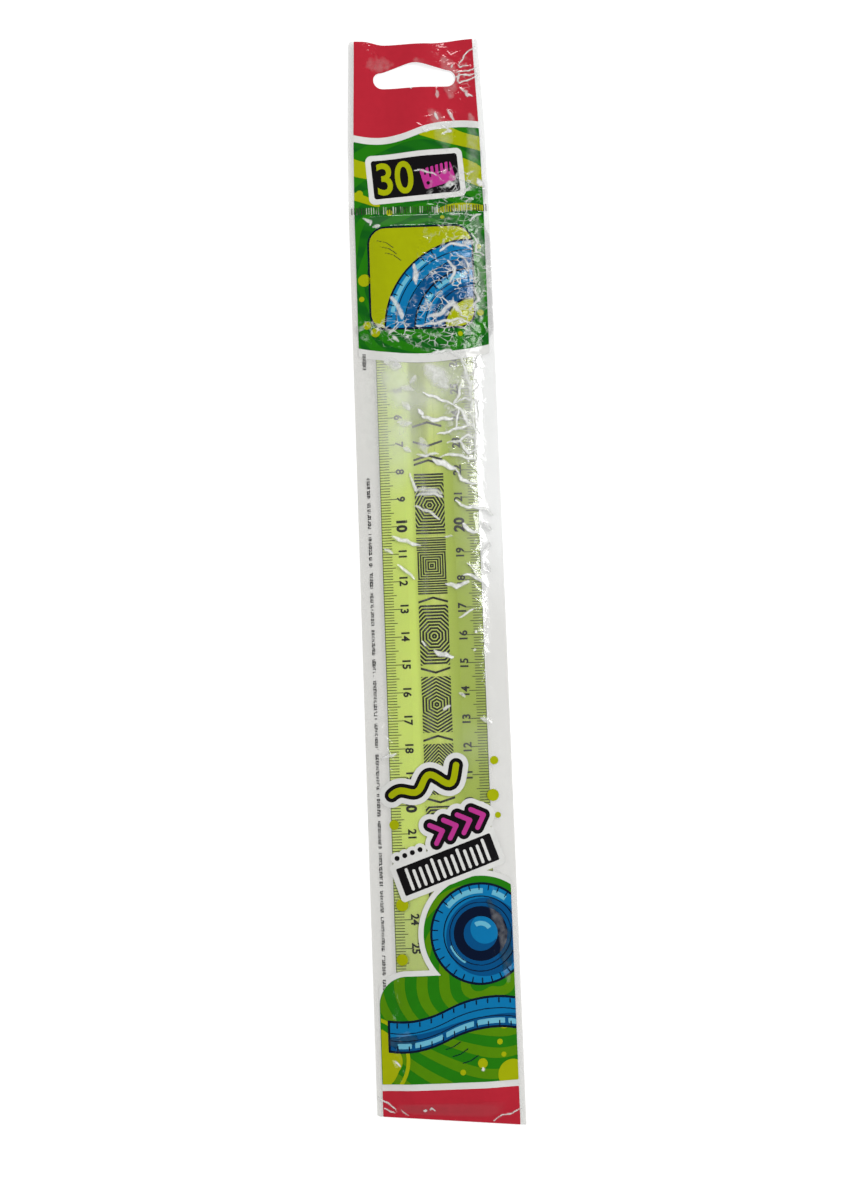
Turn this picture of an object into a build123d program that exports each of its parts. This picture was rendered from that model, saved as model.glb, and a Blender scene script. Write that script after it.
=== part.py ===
from build123d import *
from math import cos, radians, sin
import os

# A flexible 30 cm ruler in a clear printed pouch that hangs from a peg.
# The pouch lies on its back: +X runs across it, +Y up to the hang hole and +Z out of
# the printed front. The origin is the middle of the back web's outer face.
# All lengths are millimetres, and all angles are degrees.

# Ruler
scale_length = 300.0
scale_end_margin = 3.0
ruler_width = 35.5
ruler_thickness = 2.0
ruler_edge_thickness = 0.9
ruler_land_width = 17.5
groove_width = 5.0
groove_depth = 0.15
ruler_corner_radius = 3.0

# Graduations
millimetre = 1.0
small_mark_length = 3.6
middle_mark_length = 4.7
long_mark_length = 6.0
mark_width = 0.18
edge_line_width = 0.25
mark_ink_thickness = 0.04

# Room that the pouch leaves round the ruler
ruler_seat_clearance = 0.1
ruler_foot_clearance = 0.3
ruler_head_room = 13.7
ruler_side_room = 7.05
film_slack = 0.8
crown_overhang = 3.25
header_slope_run = 5.0
foot_slope_run = 1.8

# Film and welds
film_thickness = 0.1
side_weld_width = 1.2
foot_weld_width = 2.3
bottom_cut_drop = 4.8
header_weld_height = 3.0
crimp_count = 24
crimp_base = 0.04
crimp_depth = 0.08

# Header and its hang hole
header_height = 63.3
header_taper = 1.4
cut_corner_radius = 1.2
hole_width = 31.0
hole_lobe_height = 6.5
hole_overall_height = 10.4
hole_hump_radius = 4.2
hole_shoulder_radius = 4.0
hole_drop = 17.8

# Printing
ink_thickness = 0.03
ink_levels = 5
print_side_margin = 2.1
outline_ink_width = 0.7

# Red field and white band of the header
red_field_height = 34.2
red_wave_tilt = 2.4
red_wave_sag = 2.2
header_band_width = 2.6

# Upper panel
upper_panel_reach = 49.5
upper_panel_sag = 3.8
upper_band_width = 3.3
swirl_width = 4.2
swirl_tilt = 4.5
swirl_sag = 2.0
swirl_rise_shares = (0.92, 0.77, 0.58, 0.36, 0.08)
swirl_side_shares = (-1, 1, -1, 1, -1)

# Size plate
size_plate_length = 32.0
size_plate_height = 14.5
size_plate_gap = 0.7
size_plate_shift = 0.8
size_plate_tilt = 4.0
plate_border = 2.0

# Square motif
motif_size = 39.0
motif_gap = 5.2
motif_corner = 6.5
motif_arc_radius = 33.0
motif_arc_width = 10.2
motif_arc_count = 2

# Tilted plates
name_plate_tilt = 19.0
name_plate_lengths = (30.0, 24.0, 35.6)
name_plate_heights = (11.5, 11.0, 10.0)
name_plate_rise_shares = (0.845, 0.415, 0.0)
name_plate_shift_shares = (-0.10, 0.13, 0.035)
name_plate_spread = 34.0
name_plate_floor = 75.4

# Lower panel
lobe_radius = 20.1
lobe_rise = 51.0
lobe_edge_room = 11.4
lower_ground_height = 37.0
lower_ground_corner = 10.0
lower_border_width = 1.9
lower_swirl_tilt = 9.0
lower_swirl_rise_shares = (0.10, 0.34)
lobe_arc_radius = 17.0
lobe_arc_width = 7.5
lobe_arc_count = 1
ribbon_width = 9.5
ribbon_rise = 20.0
ribbon_tilt = 5.0
ribbon_sag = 2.5

# Print at the foot
foot_band_width = 2.2
foot_red_height = 13.4

# Working values
overrun = 2.0
form_depth = 3.0
ruler_length = scale_length + 2 * scale_end_margin
ruler_foot_room = bottom_cut_drop + foot_weld_width + foot_slope_run + ruler_foot_clearance
header_reach = header_height + header_weld_height
pouch_length = ruler_foot_room + ruler_length + ruler_head_room + header_reach
cavity_width = ruler_width + 2 * ruler_side_room
pouch_width = cavity_width + 2 * side_weld_width
header_top_width = pouch_width - 2 * header_taper
crown_width = ruler_land_width + 2 * crown_overhang
crown_height = ruler_seat_clearance + ruler_thickness + film_slack
top_y = pouch_length / 2
right_foot_y = -pouch_length / 2
left_foot_y = right_foot_y + bottom_cut_drop
weld_top_y = top_y - header_height
weld_foot_y = weld_top_y - header_weld_height
foot_inner_y = left_foot_y + foot_weld_width
ruler_foot_y = right_foot_y + ruler_foot_room
ruler_mid_y = ruler_foot_y + ruler_length / 2
ruler_base_z = film_thickness + ruler_seat_clearance
ruler_top_z = ruler_base_z + ruler_thickness
web_top_z = 2 * film_thickness
ink_top_z = web_top_z + crown_height + ink_levels * ink_thickness
red_foot_y = top_y - red_field_height
panel_top_y = red_foot_y - header_band_width
panel_foot_y = weld_foot_y - upper_panel_reach
upper_panel_height = panel_top_y - panel_foot_y
foot_red_y = right_foot_y + foot_red_height
foot_band_y = foot_red_y + foot_band_width


def draped_form(lift):
    """Everything under the front web, raised by lift: flat margins and a crown over the ruler."""
    base_z = film_thickness + lift
    crown_z = base_z + crown_height
    side = pouch_width / 2 + overrun
    end = pouch_length / 2 + overrun
    with BuildPart() as form:
        with BuildSketch(Plane.XZ):
            with BuildLine():
                Polyline(
                    (-side, -form_depth),
                    (side, -form_depth),
                    (side, base_z),
                    (cavity_width / 2, base_z),
                    (crown_width / 2, crown_z),
                    (-crown_width / 2, crown_z),
                    (-cavity_width / 2, base_z),
                    (-side, base_z),
                    close=True,
                )
            make_face()
        extrude(amount=end, both=True)
        with BuildSketch(Plane.YZ):
            with BuildLine():
                Polyline(
                    (-end, -form_depth),
                    (end, -form_depth),
                    (end, base_z),
                    (weld_foot_y, base_z),
                    (weld_foot_y - header_slope_run, crown_z),
                    (foot_inner_y + foot_slope_run, crown_z),
                    (foot_inner_y, base_z),
                    (-end, base_z),
                    close=True,
                )
            make_face()
        extrude(amount=side, both=True, mode=Mode.INTERSECT)
    return form.part


def pouch_outline(inset):
    """The cut outline of both webs, with its two long sides drawn in by inset."""
    half_top = header_top_width / 2 - inset
    half_width = pouch_width / 2 - inset
    foot_change = bottom_cut_drop * inset / pouch_width
    with BuildSketch() as outline:
        with BuildLine():
            Polyline(
                (half_top, top_y),
                (-half_top, top_y),
                (-half_width, weld_top_y),
                (-half_width, left_foot_y - foot_change),
                (half_width, right_foot_y + foot_change),
                (half_width, weld_top_y),
                close=True,
            )
        make_face()
        if inset == 0:
            fillet(outline.vertices().group_by(Axis.Y)[-1], radius=cut_corner_radius)
    return outline.sketch


def hang_hole():
    """The wide slot with a hump in the middle that slides over a shop peg."""
    lobe_y = top_y - hole_drop + hole_lobe_height / 2
    hump_y = top_y - hole_drop + hole_overall_height - hole_hump_radius
    with BuildSketch() as hole:
        with Locations((0, lobe_y)):
            SlotOverall(hole_width, hole_lobe_height)
        with Locations((0, hump_y)):
            Circle(hole_hump_radius)
        inner = hole.vertices().filter_by_position(Axis.X, -hole_hump_radius, hole_hump_radius)
        fillet(inner, radius=hole_shoulder_radius)
    return hole.sketch


def printed_curve(middle_y, tilt, sags):
    """Arcs in a row from edge to edge, one for each sag, rising by tilt in all."""
    left = Vector(-pouch_width / 2, middle_y - tilt / 2)
    step = Vector(pouch_width / len(sags), tilt / len(sags))
    with BuildLine() as curve:
        for count, sag in enumerate(sags):
            start = left + step * count
            end = start + step
            middle = (start + end) / 2 - Vector(0, sag)
            if sag == 0:
                Line(start, end)
            else:
                ThreePointArc(start, middle, end)
    return curve.line


def field(upper, lower):
    """The field of print between two curves that run from left to right."""
    with BuildSketch() as zone:
        with BuildLine():
            add(upper)
            add(lower)
            Line(upper @ 0, lower @ 0)
            Line(upper @ 1, lower @ 1)
        make_face()
    return zone.sketch


def level(y):
    """A straight printed edge across the pouch."""
    return printed_curve(y, 0, (0,))


def arcs(middle, outer_radius, width, count):
    """Concentric bands inwards from outer_radius, with a thin gap between neighbours."""
    with BuildSketch() as bands:
        with Locations(middle):
            for step in range(count):
                radius = outer_radius - step * (width + outline_ink_width)
                Circle(radius)
                Circle(radius - width, mode=Mode.SUBTRACT)
    return bands.sketch


def tilted_plate(middle, length, height, tilt):
    """One printed plate, turned about its own middle."""
    with BuildSketch() as plate:
        with Locations(Location((*middle, 0), (0, 0, tilt))):
            Rectangle(length, height)
    return plate.sketch


def ink_skin(step):
    """One layer of ink over the whole front web, counted outwards from the film."""
    lift = film_thickness + step * ink_thickness
    return draped_form(lift + ink_thickness) - draped_form(lift)


ink_skins = [ink_skin(step) for step in range(ink_levels)]
printed_area = pouch_outline(print_side_margin)

# Back web: one flat sheet with the hang hole through it
with BuildPart() as back_web:
    with BuildSketch():
        add(pouch_outline(0))
        add(hang_hole(), mode=Mode.SUBTRACT)
    extrude(amount=film_thickness)
back_web.part.label = "back_web"

# Front web: flat header and welded margins, drawn up over the ruler between them
with BuildPart() as front_web:
    add(draped_form(film_thickness))
    add(draped_form(0), mode=Mode.SUBTRACT)
    with BuildSketch():
        add(pouch_outline(0))
        add(hang_hole(), mode=Mode.SUBTRACT)
    extrude(amount=ink_top_z, mode=Mode.INTERSECT)
front_web.part.label = "front_web"

# Header weld: a crimped band that closes the pouch under its header
crimp_pitch = (pouch_width - 2 * print_side_margin) / crimp_count
weld_base_z = web_top_z + 2 * ink_thickness
with BuildPart() as header_weld:
    with BuildSketch(Plane.XZ.offset(-weld_top_y)):
        with Locations((0, weld_base_z)):
            Rectangle(cavity_width, crimp_base, align=(Align.CENTER, Align.MIN))
        with Locations((0, weld_base_z + crimp_base)):
            with GridLocations(crimp_pitch, 0, crimp_count, 1):
                Rectangle(crimp_pitch / 2, crimp_depth, align=(Align.CENTER, Align.MIN))
    extrude(amount=header_weld_height)
header_weld.part.label = "header_weld"

# Red field round the hang hole, with a waved lower edge
red_sags = (red_wave_sag, -red_wave_sag)
with BuildPart() as header_red_print:
    with BuildSketch():
        add(field(level(top_y + overrun), printed_curve(red_foot_y, red_wave_tilt, red_sags)))
        add(printed_area, mode=Mode.INTERSECT)
        add(hang_hole(), mode=Mode.SUBTRACT)
    extrude(amount=ink_top_z)
    add(ink_skins[0], mode=Mode.INTERSECT)
header_red_print.part.label = "header_red_print"

# White band that follows the wave
with BuildPart() as header_white_band:
    with BuildSketch():
        add(
            field(
                printed_curve(red_foot_y, red_wave_tilt, red_sags),
                printed_curve(panel_top_y, red_wave_tilt, red_sags),
            )
        )
        add(printed_area, mode=Mode.INTERSECT)
    extrude(amount=ink_top_z)
    add(ink_skins[0], mode=Mode.INTERSECT)
header_white_band.part.label = "header_white_band"

# Upper green panel, from the wave down to a shallow arc
with BuildPart() as upper_green_print:
    with BuildSketch():
        add(
            field(
                printed_curve(panel_top_y, red_wave_tilt, red_sags),
                printed_curve(panel_foot_y, 0, (upper_panel_sag,)),
            )
        )
        add(printed_area, mode=Mode.INTERSECT)
    extrude(amount=ink_top_z)
    add(ink_skins[0], mode=Mode.INTERSECT)
upper_green_print.part.label = "upper_green_print"

# Lime swirls over the green, which narrow as they cross it
with BuildPart() as upper_lime_swirls:
    with BuildSketch():
        for rise, side in zip(swirl_rise_shares, swirl_side_shares):
            swirl_y = panel_foot_y + rise * upper_panel_height
            lower_tilt = side * (swirl_tilt + swirl_width / 2)
            add(
                field(
                    printed_curve(swirl_y, side * swirl_tilt, (-swirl_sag,)),
                    printed_curve(swirl_y - swirl_width, lower_tilt, (-swirl_sag,)),
                )
            )
        add(printed_area, mode=Mode.INTERSECT)
    extrude(amount=ink_top_z)
    add(ink_skins[1], mode=Mode.INTERSECT)
upper_lime_swirls.part.label = "upper_lime_swirls"

# White band under the upper panel
with BuildPart() as upper_white_band:
    with BuildSketch():
        add(
            field(
                printed_curve(panel_foot_y, 0, (upper_panel_sag,)),
                printed_curve(panel_foot_y - upper_band_width, 0, (upper_panel_sag,)),
            )
        )
        add(printed_area, mode=Mode.INTERSECT)
    extrude(amount=ink_top_z)
    add(ink_skins[0], mode=Mode.INTERSECT)
upper_white_band.part.label = "upper_white_band"

# Size plate: a black plate for the length, in a white border
size_border_length = size_plate_length + 2 * plate_border
size_border_height = size_plate_height + 2 * plate_border
size_tilt = radians(size_plate_tilt)
size_plate_reach = (size_border_length * sin(size_tilt) + size_border_height * cos(size_tilt)) / 2
size_plate_middle = (-size_plate_shift, weld_top_y + size_plate_gap + size_plate_reach)
with BuildPart() as size_plate_border:
    with BuildSketch():
        add(
            tilted_plate(
                size_plate_middle, size_border_length, size_border_height, size_plate_tilt
            )
        )
    extrude(amount=ink_top_z)
    add(ink_skins[2], mode=Mode.INTERSECT)
size_plate_border.part.label = "size_plate_border"

with BuildPart() as size_plate:
    with BuildSketch():
        add(
            tilted_plate(
                size_plate_middle, size_plate_length, size_plate_height, size_plate_tilt
            )
        )
    extrude(amount=ink_top_z)
    add(ink_skins[3], mode=Mode.INTERSECT)
size_plate.part.label = "size_plate"

# Square motif: a navy tile with a lime field and blue arcs round one corner on it
motif_y = weld_foot_y - motif_gap - motif_size / 2
motif_centre = (motif_size / 2, motif_y - motif_size / 2)
motif_inner_size = motif_size - 2 * outline_ink_width
motif_inner_corner = motif_corner - outline_ink_width
motif_field_radius = motif_arc_radius + outline_ink_width
motif_depth = motif_arc_count * (motif_arc_width + outline_ink_width) + outline_ink_width
with BuildPart() as motif_outline:
    with BuildSketch():
        with Locations((0, motif_y)):
            RectangleRounded(motif_size, motif_size, motif_corner)
    extrude(amount=ink_top_z)
    add(ink_skins[2], mode=Mode.INTERSECT)
motif_outline.part.label = "motif_outline"

with BuildPart() as motif_ground:
    with BuildSketch():
        with Locations((0, motif_y)):
            RectangleRounded(motif_inner_size, motif_inner_size, motif_inner_corner)
        add(arcs(motif_centre, motif_field_radius, motif_depth, 1), mode=Mode.SUBTRACT)
    extrude(amount=ink_top_z)
    add(ink_skins[3], mode=Mode.INTERSECT)
motif_ground.part.label = "motif_ground"

with BuildPart() as motif_bands:
    with BuildSketch():
        add(arcs(motif_centre, motif_arc_radius, motif_arc_width, motif_arc_count))
        with Locations((0, motif_y)):
            RectangleRounded(
                motif_inner_size, motif_inner_size, motif_inner_corner, mode=Mode.INTERSECT
            )
    extrude(amount=ink_top_z)
    add(ink_skins[3], mode=Mode.INTERSECT)
motif_bands.part.label = "motif_bands"

# Tilted plates over the window: white borders with black plates on them
plates_floor_y = foot_band_y + name_plate_floor
plate_middles = [
    (shift * pouch_width, plates_floor_y + rise * name_plate_spread)
    for shift, rise in zip(name_plate_shift_shares, name_plate_rise_shares)
]
plate_sizes = list(zip(plate_middles, name_plate_lengths, name_plate_heights))
with BuildPart() as name_plate_borders:
    with BuildSketch():
        for middle, length, height in plate_sizes:
            border_length = length + 2 * plate_border
            border_height = height + 2 * plate_border
            add(tilted_plate(middle, border_length, border_height, name_plate_tilt))
    extrude(amount=ink_top_z)
    add(ink_skins[2], mode=Mode.INTERSECT)
name_plate_borders.part.label = "name_plate_borders"

with BuildPart() as name_plates:
    with BuildSketch():
        for middle, length, height in plate_sizes:
            add(tilted_plate(middle, length, height, name_plate_tilt))
    extrude(amount=ink_top_z)
    add(ink_skins[3], mode=Mode.INTERSECT)
name_plates.part.label = "name_plates"

# Lower panel: a green ground whose lobe rises on the right, in a white border
lobe_middle = (
    pouch_width / 2 - print_side_margin - lobe_edge_room,
    foot_band_y + lobe_rise,
)


def lower_ground(spread):
    """The lower panel's ground, wider by spread along its curved upper edge."""
    corner = lower_ground_corner + spread
    with BuildSketch() as ground:
        with Locations((print_side_margin, foot_band_y - corner)):
            RectangleRounded(
                pouch_width + 2 * spread,
                lower_ground_height + spread + corner,
                corner,
                align=(Align.CENTER, Align.MIN),
            )
        with Locations(lobe_middle):
            Circle(lobe_radius + spread)
        add(field(level(top_y), level(foot_band_y)), mode=Mode.INTERSECT)
        add(printed_area, mode=Mode.INTERSECT)
    return ground.sketch


def ribbon(spread):
    """A waved ribbon across the lower panel, wider by spread on both sides."""
    middle_y = foot_band_y + ribbon_rise
    half = ribbon_width / 2 + spread
    sags = (ribbon_sag, -ribbon_sag)
    upper = printed_curve(middle_y + half, ribbon_tilt, sags)
    lower = printed_curve(middle_y - half, ribbon_tilt, sags)
    return field(upper, lower)


with BuildPart() as lower_white_border:
    with BuildSketch():
        add(lower_ground(lower_border_width))
    extrude(amount=ink_top_z)
    add(ink_skins[0], mode=Mode.INTERSECT)
lower_white_border.part.label = "lower_white_border"

with BuildPart() as lower_green_print:
    with BuildSketch():
        add(lower_ground(0))
    extrude(amount=ink_top_z)
    add(ink_skins[1], mode=Mode.INTERSECT)
lower_green_print.part.label = "lower_green_print"

with BuildPart() as lower_lime_swirls:
    with BuildSketch():
        for rise in lower_swirl_rise_shares:
            swirl_y = foot_band_y + rise * lower_ground_height
            add(
                field(
                    printed_curve(swirl_y, lower_swirl_tilt, (swirl_sag,)),
                    printed_curve(swirl_y - swirl_width, lower_swirl_tilt, (swirl_sag,)),
                )
            )
        add(lower_ground(0), mode=Mode.INTERSECT)
    extrude(amount=ink_top_z)
    add(ink_skins[2], mode=Mode.INTERSECT)
lower_lime_swirls.part.label = "lower_lime_swirls"

with BuildPart() as lower_band_outline:
    with BuildSketch():
        with Locations(lobe_middle):
            Circle(lobe_arc_radius + outline_ink_width)
        add(ribbon(outline_ink_width))
        add(lower_ground(0), mode=Mode.INTERSECT)
    extrude(amount=ink_top_z)
    add(ink_skins[3], mode=Mode.INTERSECT)
lower_band_outline.part.label = "lower_band_outline"

with BuildPart() as lower_bands:
    with BuildSketch():
        add(arcs(lobe_middle, lobe_arc_radius, lobe_arc_width, lobe_arc_count))
        add(ribbon(0))
        add(lower_ground(0), mode=Mode.INTERSECT)
    extrude(amount=ink_top_z)
    add(ink_skins[4], mode=Mode.INTERSECT)
lower_bands.part.label = "lower_bands"

# Foot: a white band, then a red strip down to the slanted cut
with BuildPart() as foot_white_band:
    with BuildSketch():
        add(field(level(foot_band_y), level(foot_red_y)))
        add(printed_area, mode=Mode.INTERSECT)
    extrude(amount=ink_top_z)
    add(ink_skins[0], mode=Mode.INTERSECT)
foot_white_band.part.label = "foot_white_band"

with BuildPart() as foot_red_print:
    with BuildSketch():
        add(field(level(foot_red_y), level(right_foot_y - overrun)))
        add(printed_area, mode=Mode.INTERSECT)
    extrude(amount=ink_top_z)
    add(ink_skins[0], mode=Mode.INTERSECT)
foot_red_print.part.label = "foot_red_print"

# Ruler: bevelled on both long edges, with a shallow groove down the middle of its land
with BuildPart() as ruler_strip:
    with BuildSketch(Plane.XZ.offset(-ruler_foot_y)):
        with BuildLine():
            Polyline(
                (-ruler_width / 2, ruler_base_z),
                (ruler_width / 2, ruler_base_z),
                (ruler_width / 2, ruler_base_z + ruler_edge_thickness),
                (ruler_land_width / 2, ruler_top_z),
                (groove_width / 2, ruler_top_z),
                (groove_width / 2 - groove_depth, ruler_top_z - groove_depth),
                (groove_depth - groove_width / 2, ruler_top_z - groove_depth),
                (-groove_width / 2, ruler_top_z),
                (-ruler_land_width / 2, ruler_top_z),
                (-ruler_width / 2, ruler_base_z + ruler_edge_thickness),
                close=True,
            )
        make_face()
    extrude(amount=-ruler_length)
    fillet(ruler_strip.edges().filter_by(Axis.Z), radius=ruler_corner_radius)
ruler_strip.part.label = "ruler_strip"

# Graduations: ink on each bevel, a mark to the millimetre, joined by a line at the edge
bevel_run = (ruler_width - ruler_land_width) / 2
bevel_rise = ruler_thickness - ruler_edge_thickness
mark_count = round(scale_length / millimetre) + 1
bevel_plane = Plane(
    origin=(-ruler_width / 2, ruler_mid_y, ruler_base_z + ruler_edge_thickness),
    x_dir=(bevel_run, 0, bevel_rise),
    z_dir=(-bevel_rise, 0, bevel_run),
)


def mark_row(length, every):
    """One row of equal marks that start at the ruler's edge."""
    pitch = every * millimetre
    count = (mark_count - 1) // every + 1
    with GridLocations(0, pitch, 1, count):
        Rectangle(length, mark_width, align=(Align.MIN, Align.CENTER))


with BuildPart() as left_scale_marks:
    with BuildSketch(bevel_plane):
        Rectangle(
            edge_line_width,
            scale_length + mark_width,
            align=(Align.MIN, Align.CENTER),
        )
        mark_row(small_mark_length, 1)
        mark_row(middle_mark_length, 5)
        mark_row(long_mark_length, 10)
    extrude(amount=mark_ink_thickness)
left_scale_marks.part.label = "left_scale_marks"

with BuildPart() as right_scale_marks:
    add(left_scale_marks.part.mirror(Plane.YZ))
right_scale_marks.part.label = "right_scale_marks"

os.makedirs("parts", exist_ok=True)
pieces = (
    back_web,
    front_web,
    header_weld,
    header_red_print,
    header_white_band,
    upper_green_print,
    upper_lime_swirls,
    upper_white_band,
    size_plate_border,
    size_plate,
    motif_ground,
    motif_outline,
    motif_bands,
    name_plate_borders,
    name_plates,
    lower_white_border,
    lower_green_print,
    lower_lime_swirls,
    lower_band_outline,
    lower_bands,
    foot_white_band,
    foot_red_print,
    ruler_strip,
    left_scale_marks,
    right_scale_marks,
)
for piece in pieces:
    export_step(piece.part, f"parts/{piece.part.label}.step")
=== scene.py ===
"""Looks for a 30 cm flexible ruler inside its clear printed hang pouch.

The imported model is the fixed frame. Shapes are worked out in millimetres in that frame,
flat at first, then laid on the film or on the ruler and written to meshes in metres.
"""

import math

import bmesh
import bpy
import numpy as np
from bpy.props import FloatProperty, FloatVectorProperty, IntProperty, PointerProperty
from mathutils import Euler, Matrix, Vector, noise


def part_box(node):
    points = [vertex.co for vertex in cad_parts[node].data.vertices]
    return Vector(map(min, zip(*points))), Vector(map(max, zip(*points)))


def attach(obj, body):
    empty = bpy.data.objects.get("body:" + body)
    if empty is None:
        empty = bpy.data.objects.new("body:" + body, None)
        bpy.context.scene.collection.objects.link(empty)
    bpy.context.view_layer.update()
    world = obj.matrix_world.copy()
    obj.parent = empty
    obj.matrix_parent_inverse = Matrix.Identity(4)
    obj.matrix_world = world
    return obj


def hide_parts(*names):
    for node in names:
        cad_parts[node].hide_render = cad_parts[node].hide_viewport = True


bl_info = {
    "name": "Pouched Flexible Ruler",
    "version": (1, 0, 0),
    "blender": (4, 5, 0),
    "location": "3D View > Sidebar > Flexible Ruler",
    "description": "Dresses a flexible ruler and the clear printed pouch that it hangs in",
    "category": "Object",
}

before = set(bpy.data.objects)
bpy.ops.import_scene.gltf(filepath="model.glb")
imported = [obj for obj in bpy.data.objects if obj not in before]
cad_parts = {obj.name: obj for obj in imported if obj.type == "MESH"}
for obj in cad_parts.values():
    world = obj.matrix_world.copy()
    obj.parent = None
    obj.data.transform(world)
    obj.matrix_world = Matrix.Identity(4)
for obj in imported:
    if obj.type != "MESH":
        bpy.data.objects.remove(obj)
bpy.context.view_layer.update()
MM = 0.001


def span(node):
    """Lowest and highest corner of a CAD node, in millimetres."""
    low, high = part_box(node)
    return np.array(low) / MM, np.array(high) / MM


# Places taken from the frame, in millimetres
WEB_LOW, WEB_HIGH = span("back_web")
WELD_LOW, WELD_HIGH = span("header_weld")
RULER_LOW, RULER_HIGH = span("ruler_strip")
PANEL_HIGH = span("upper_green_print")[1]
EDGE_BAND_LOW = span("upper_white_band")[0]
SIZE_LOW, SIZE_HIGH = span("size_plate")
MOTIF_LOW, MOTIF_HIGH = span("motif_outline")
FOOT_BAND_LOW, FOOT_BAND_HIGH = span("foot_white_band")
RED_LOW = span("header_red_print")[0]
HALF_WIDTH = WEB_HIGH[0]
TOP_Y = WEB_HIGH[1]
FOOT_Y = WEB_LOW[1]
WELD_TOP = WELD_HIGH[1]
WELD_FOOT = WELD_LOW[1]
SEAM_X = WELD_HIGH[0]
RULER_HALF = RULER_HIGH[0]
RULER_TOP_Z = RULER_HIGH[2]
SCALE_MARGIN = 3.0
ZERO_Y = RULER_HIGH[1] - SCALE_MARGIN
FOOT_BAND_Y = FOOT_BAND_HIGH[1]

# Cut outline of the pouch
HEADER_TAPER = 1.4
FOOT_DROP = 4.8
CORNER_RADIUS = 1.2
PRINT_MARGIN = 2.1
HOLE_WIDTH = 31.0
HOLE_LOBE = 6.5
HOLE_DROP = 17.8
HOLE_SOFT = 2.6
HOLE_SLOPE = 0.38

# Section of the ruler
LAND_HALF = 8.75
EDGE_Z = RULER_LOW[2] + 0.9
GROOVE_HALF = 2.5
GROOVE_DEPTH = 0.15

# Lattice that the film and the printing share
STEP = 0.325
COLUMNS = round(2 * HALF_WIDTH / STEP)
ROWS = round((TOP_Y - FOOT_Y) / STEP)
XS = np.linspace(-HALF_WIDTH, HALF_WIDTH, COLUMNS + 1)
YS = np.linspace(FOOT_Y, TOP_Y, ROWS + 1)

# Half width of the film's crest, wide enough to clear the edges of the ruler
CREST_HALF = 10.8

# Thin layers
INK = 0.02
FIRST_LIFT = 0.05
LEVEL_LIFT = 0.035
# Lift of the sheet of painted shine over the folds, and the least glare and slack that it covers
FOLD_LIFT = 0.26
FOLD_GLARE = 0.03
FOLD_SLACK = 0.12
RIB_LIFT = 0.2
RIB_DEPTH = 0.12
RULER_INK_LIFT = 0.04
RULER_INK = 0.03
PATTERN_LIFT = 0.03


def srgb(red, green, blue):
    """A display colour from 0 to 255 as a linear colour."""
    shares = [value / 255 for value in (red, green, blue)]
    line = [s / 12.92 if s <= 0.04045 else ((s + 0.055) / 1.055) ** 2.4 for s in shares]
    return (*line, 1.0)


def grey(value):
    """A neutral linear colour."""
    return (value, value, value, 1.0)


WHITE = grey(1.0)


def toned(tone, factor, lift=0.0):
    """A colour made lighter or darker."""
    return (*[min(1.0, part * factor + lift) for part in tone[:3]], 1.0)


def length(name, description, default):
    """A length setting, given in millimetres."""
    return FloatProperty(
        name=name, description=description, default=default * MM, min=0.0, unit="LENGTH"
    )


def share(name, description, default):
    """A setting without a unit."""
    return FloatProperty(name=name, description=description, default=default)


def colour(name, description, default):
    """A colour setting."""
    return FloatVectorProperty(
        name=name, description=description, size=4, subtype="COLOR", default=default,
        min=0.0, max=1.0,
    )


def power(name, description, default):
    """A light's power."""
    return FloatProperty(name=name, description=description, default=default, unit="POWER")


class FilmLooks(bpy.types.PropertyGroup):
    """Sizes and finish of the two clear webs."""

    thickness: length("Film thickness", "Thickness of each web", 0.06)
    crown: length("Crown", "Height of the front web over the ruler", 2.4)
    crumple: length("Crumple", "Height of the folds where the film is slack", 0.42)
    header_wave: length("Header wave", "Height of the wave in the loose header", 1.3)
    roughness: share("Roughness", "Roughness of the film's gloss", 0.09)
    tint: colour("Tint", "Light that the film lets through", (0.991, 0.992, 0.99, 1.0))
    # Painted shade: light through the back film at its greyest margins
    margin: colour("Margin", "Light through the greyest part", (0.905, 0.9, 0.888, 1.0))
    # Colour of the film's milky haze and of the painted glare laid into it
    haze_and_glare: colour("Haze", "Milky haze in the film", srgb(246, 248, 242))
    # Colour of the painted highlight along the folds
    shine: colour("Shine", "Painted highlight along the folds", srgb(253, 254, 250))
    crimp: colour("Crimp", "Shade in the ribs of the weld", srgb(58, 66, 44))
    rib_count: IntProperty(
        name="Ribs", description="Crimp ribs across the weld", default=56, min=2
    )
    rib_width: length("Rib width", "Width of one crimp rib", 0.36)


class PrintLooks(bpy.types.PropertyGroup):
    """Inks of the pouch."""

    red: colour("Red", "Ink of the header and the foot", srgb(186, 38, 54))
    white: colour("White", "Ink of bands and borders", srgb(222, 222, 218))
    green: colour("Green", "Ground of both panels", srgb(14, 95, 20))
    leaf: colour("Leaf green", "Lighter streaks of the panels", srgb(34, 121, 10))
    fern: colour("Fern green", "Streaks of the lower panel", srgb(84, 137, 3))
    lime: colour("Lime", "Swirls, dots and numerals", srgb(165, 174, 4))
    black: colour("Black", "Plates", srgb(16, 14, 16))
    navy: colour("Navy", "Outlines", srgb(4, 18, 44))
    blue: colour("Blue", "Ribbons and arcs", srgb(8, 117, 172))
    deep: colour("Deep blue", "Shaded part of the ribbons", srgb(2, 79, 132))
    sky: colour("Light blue", "Highlights on the ribbons", srgb(106, 182, 206))
    magenta: colour("Magenta", "Marks on the plates", srgb(188, 54, 142))


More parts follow.
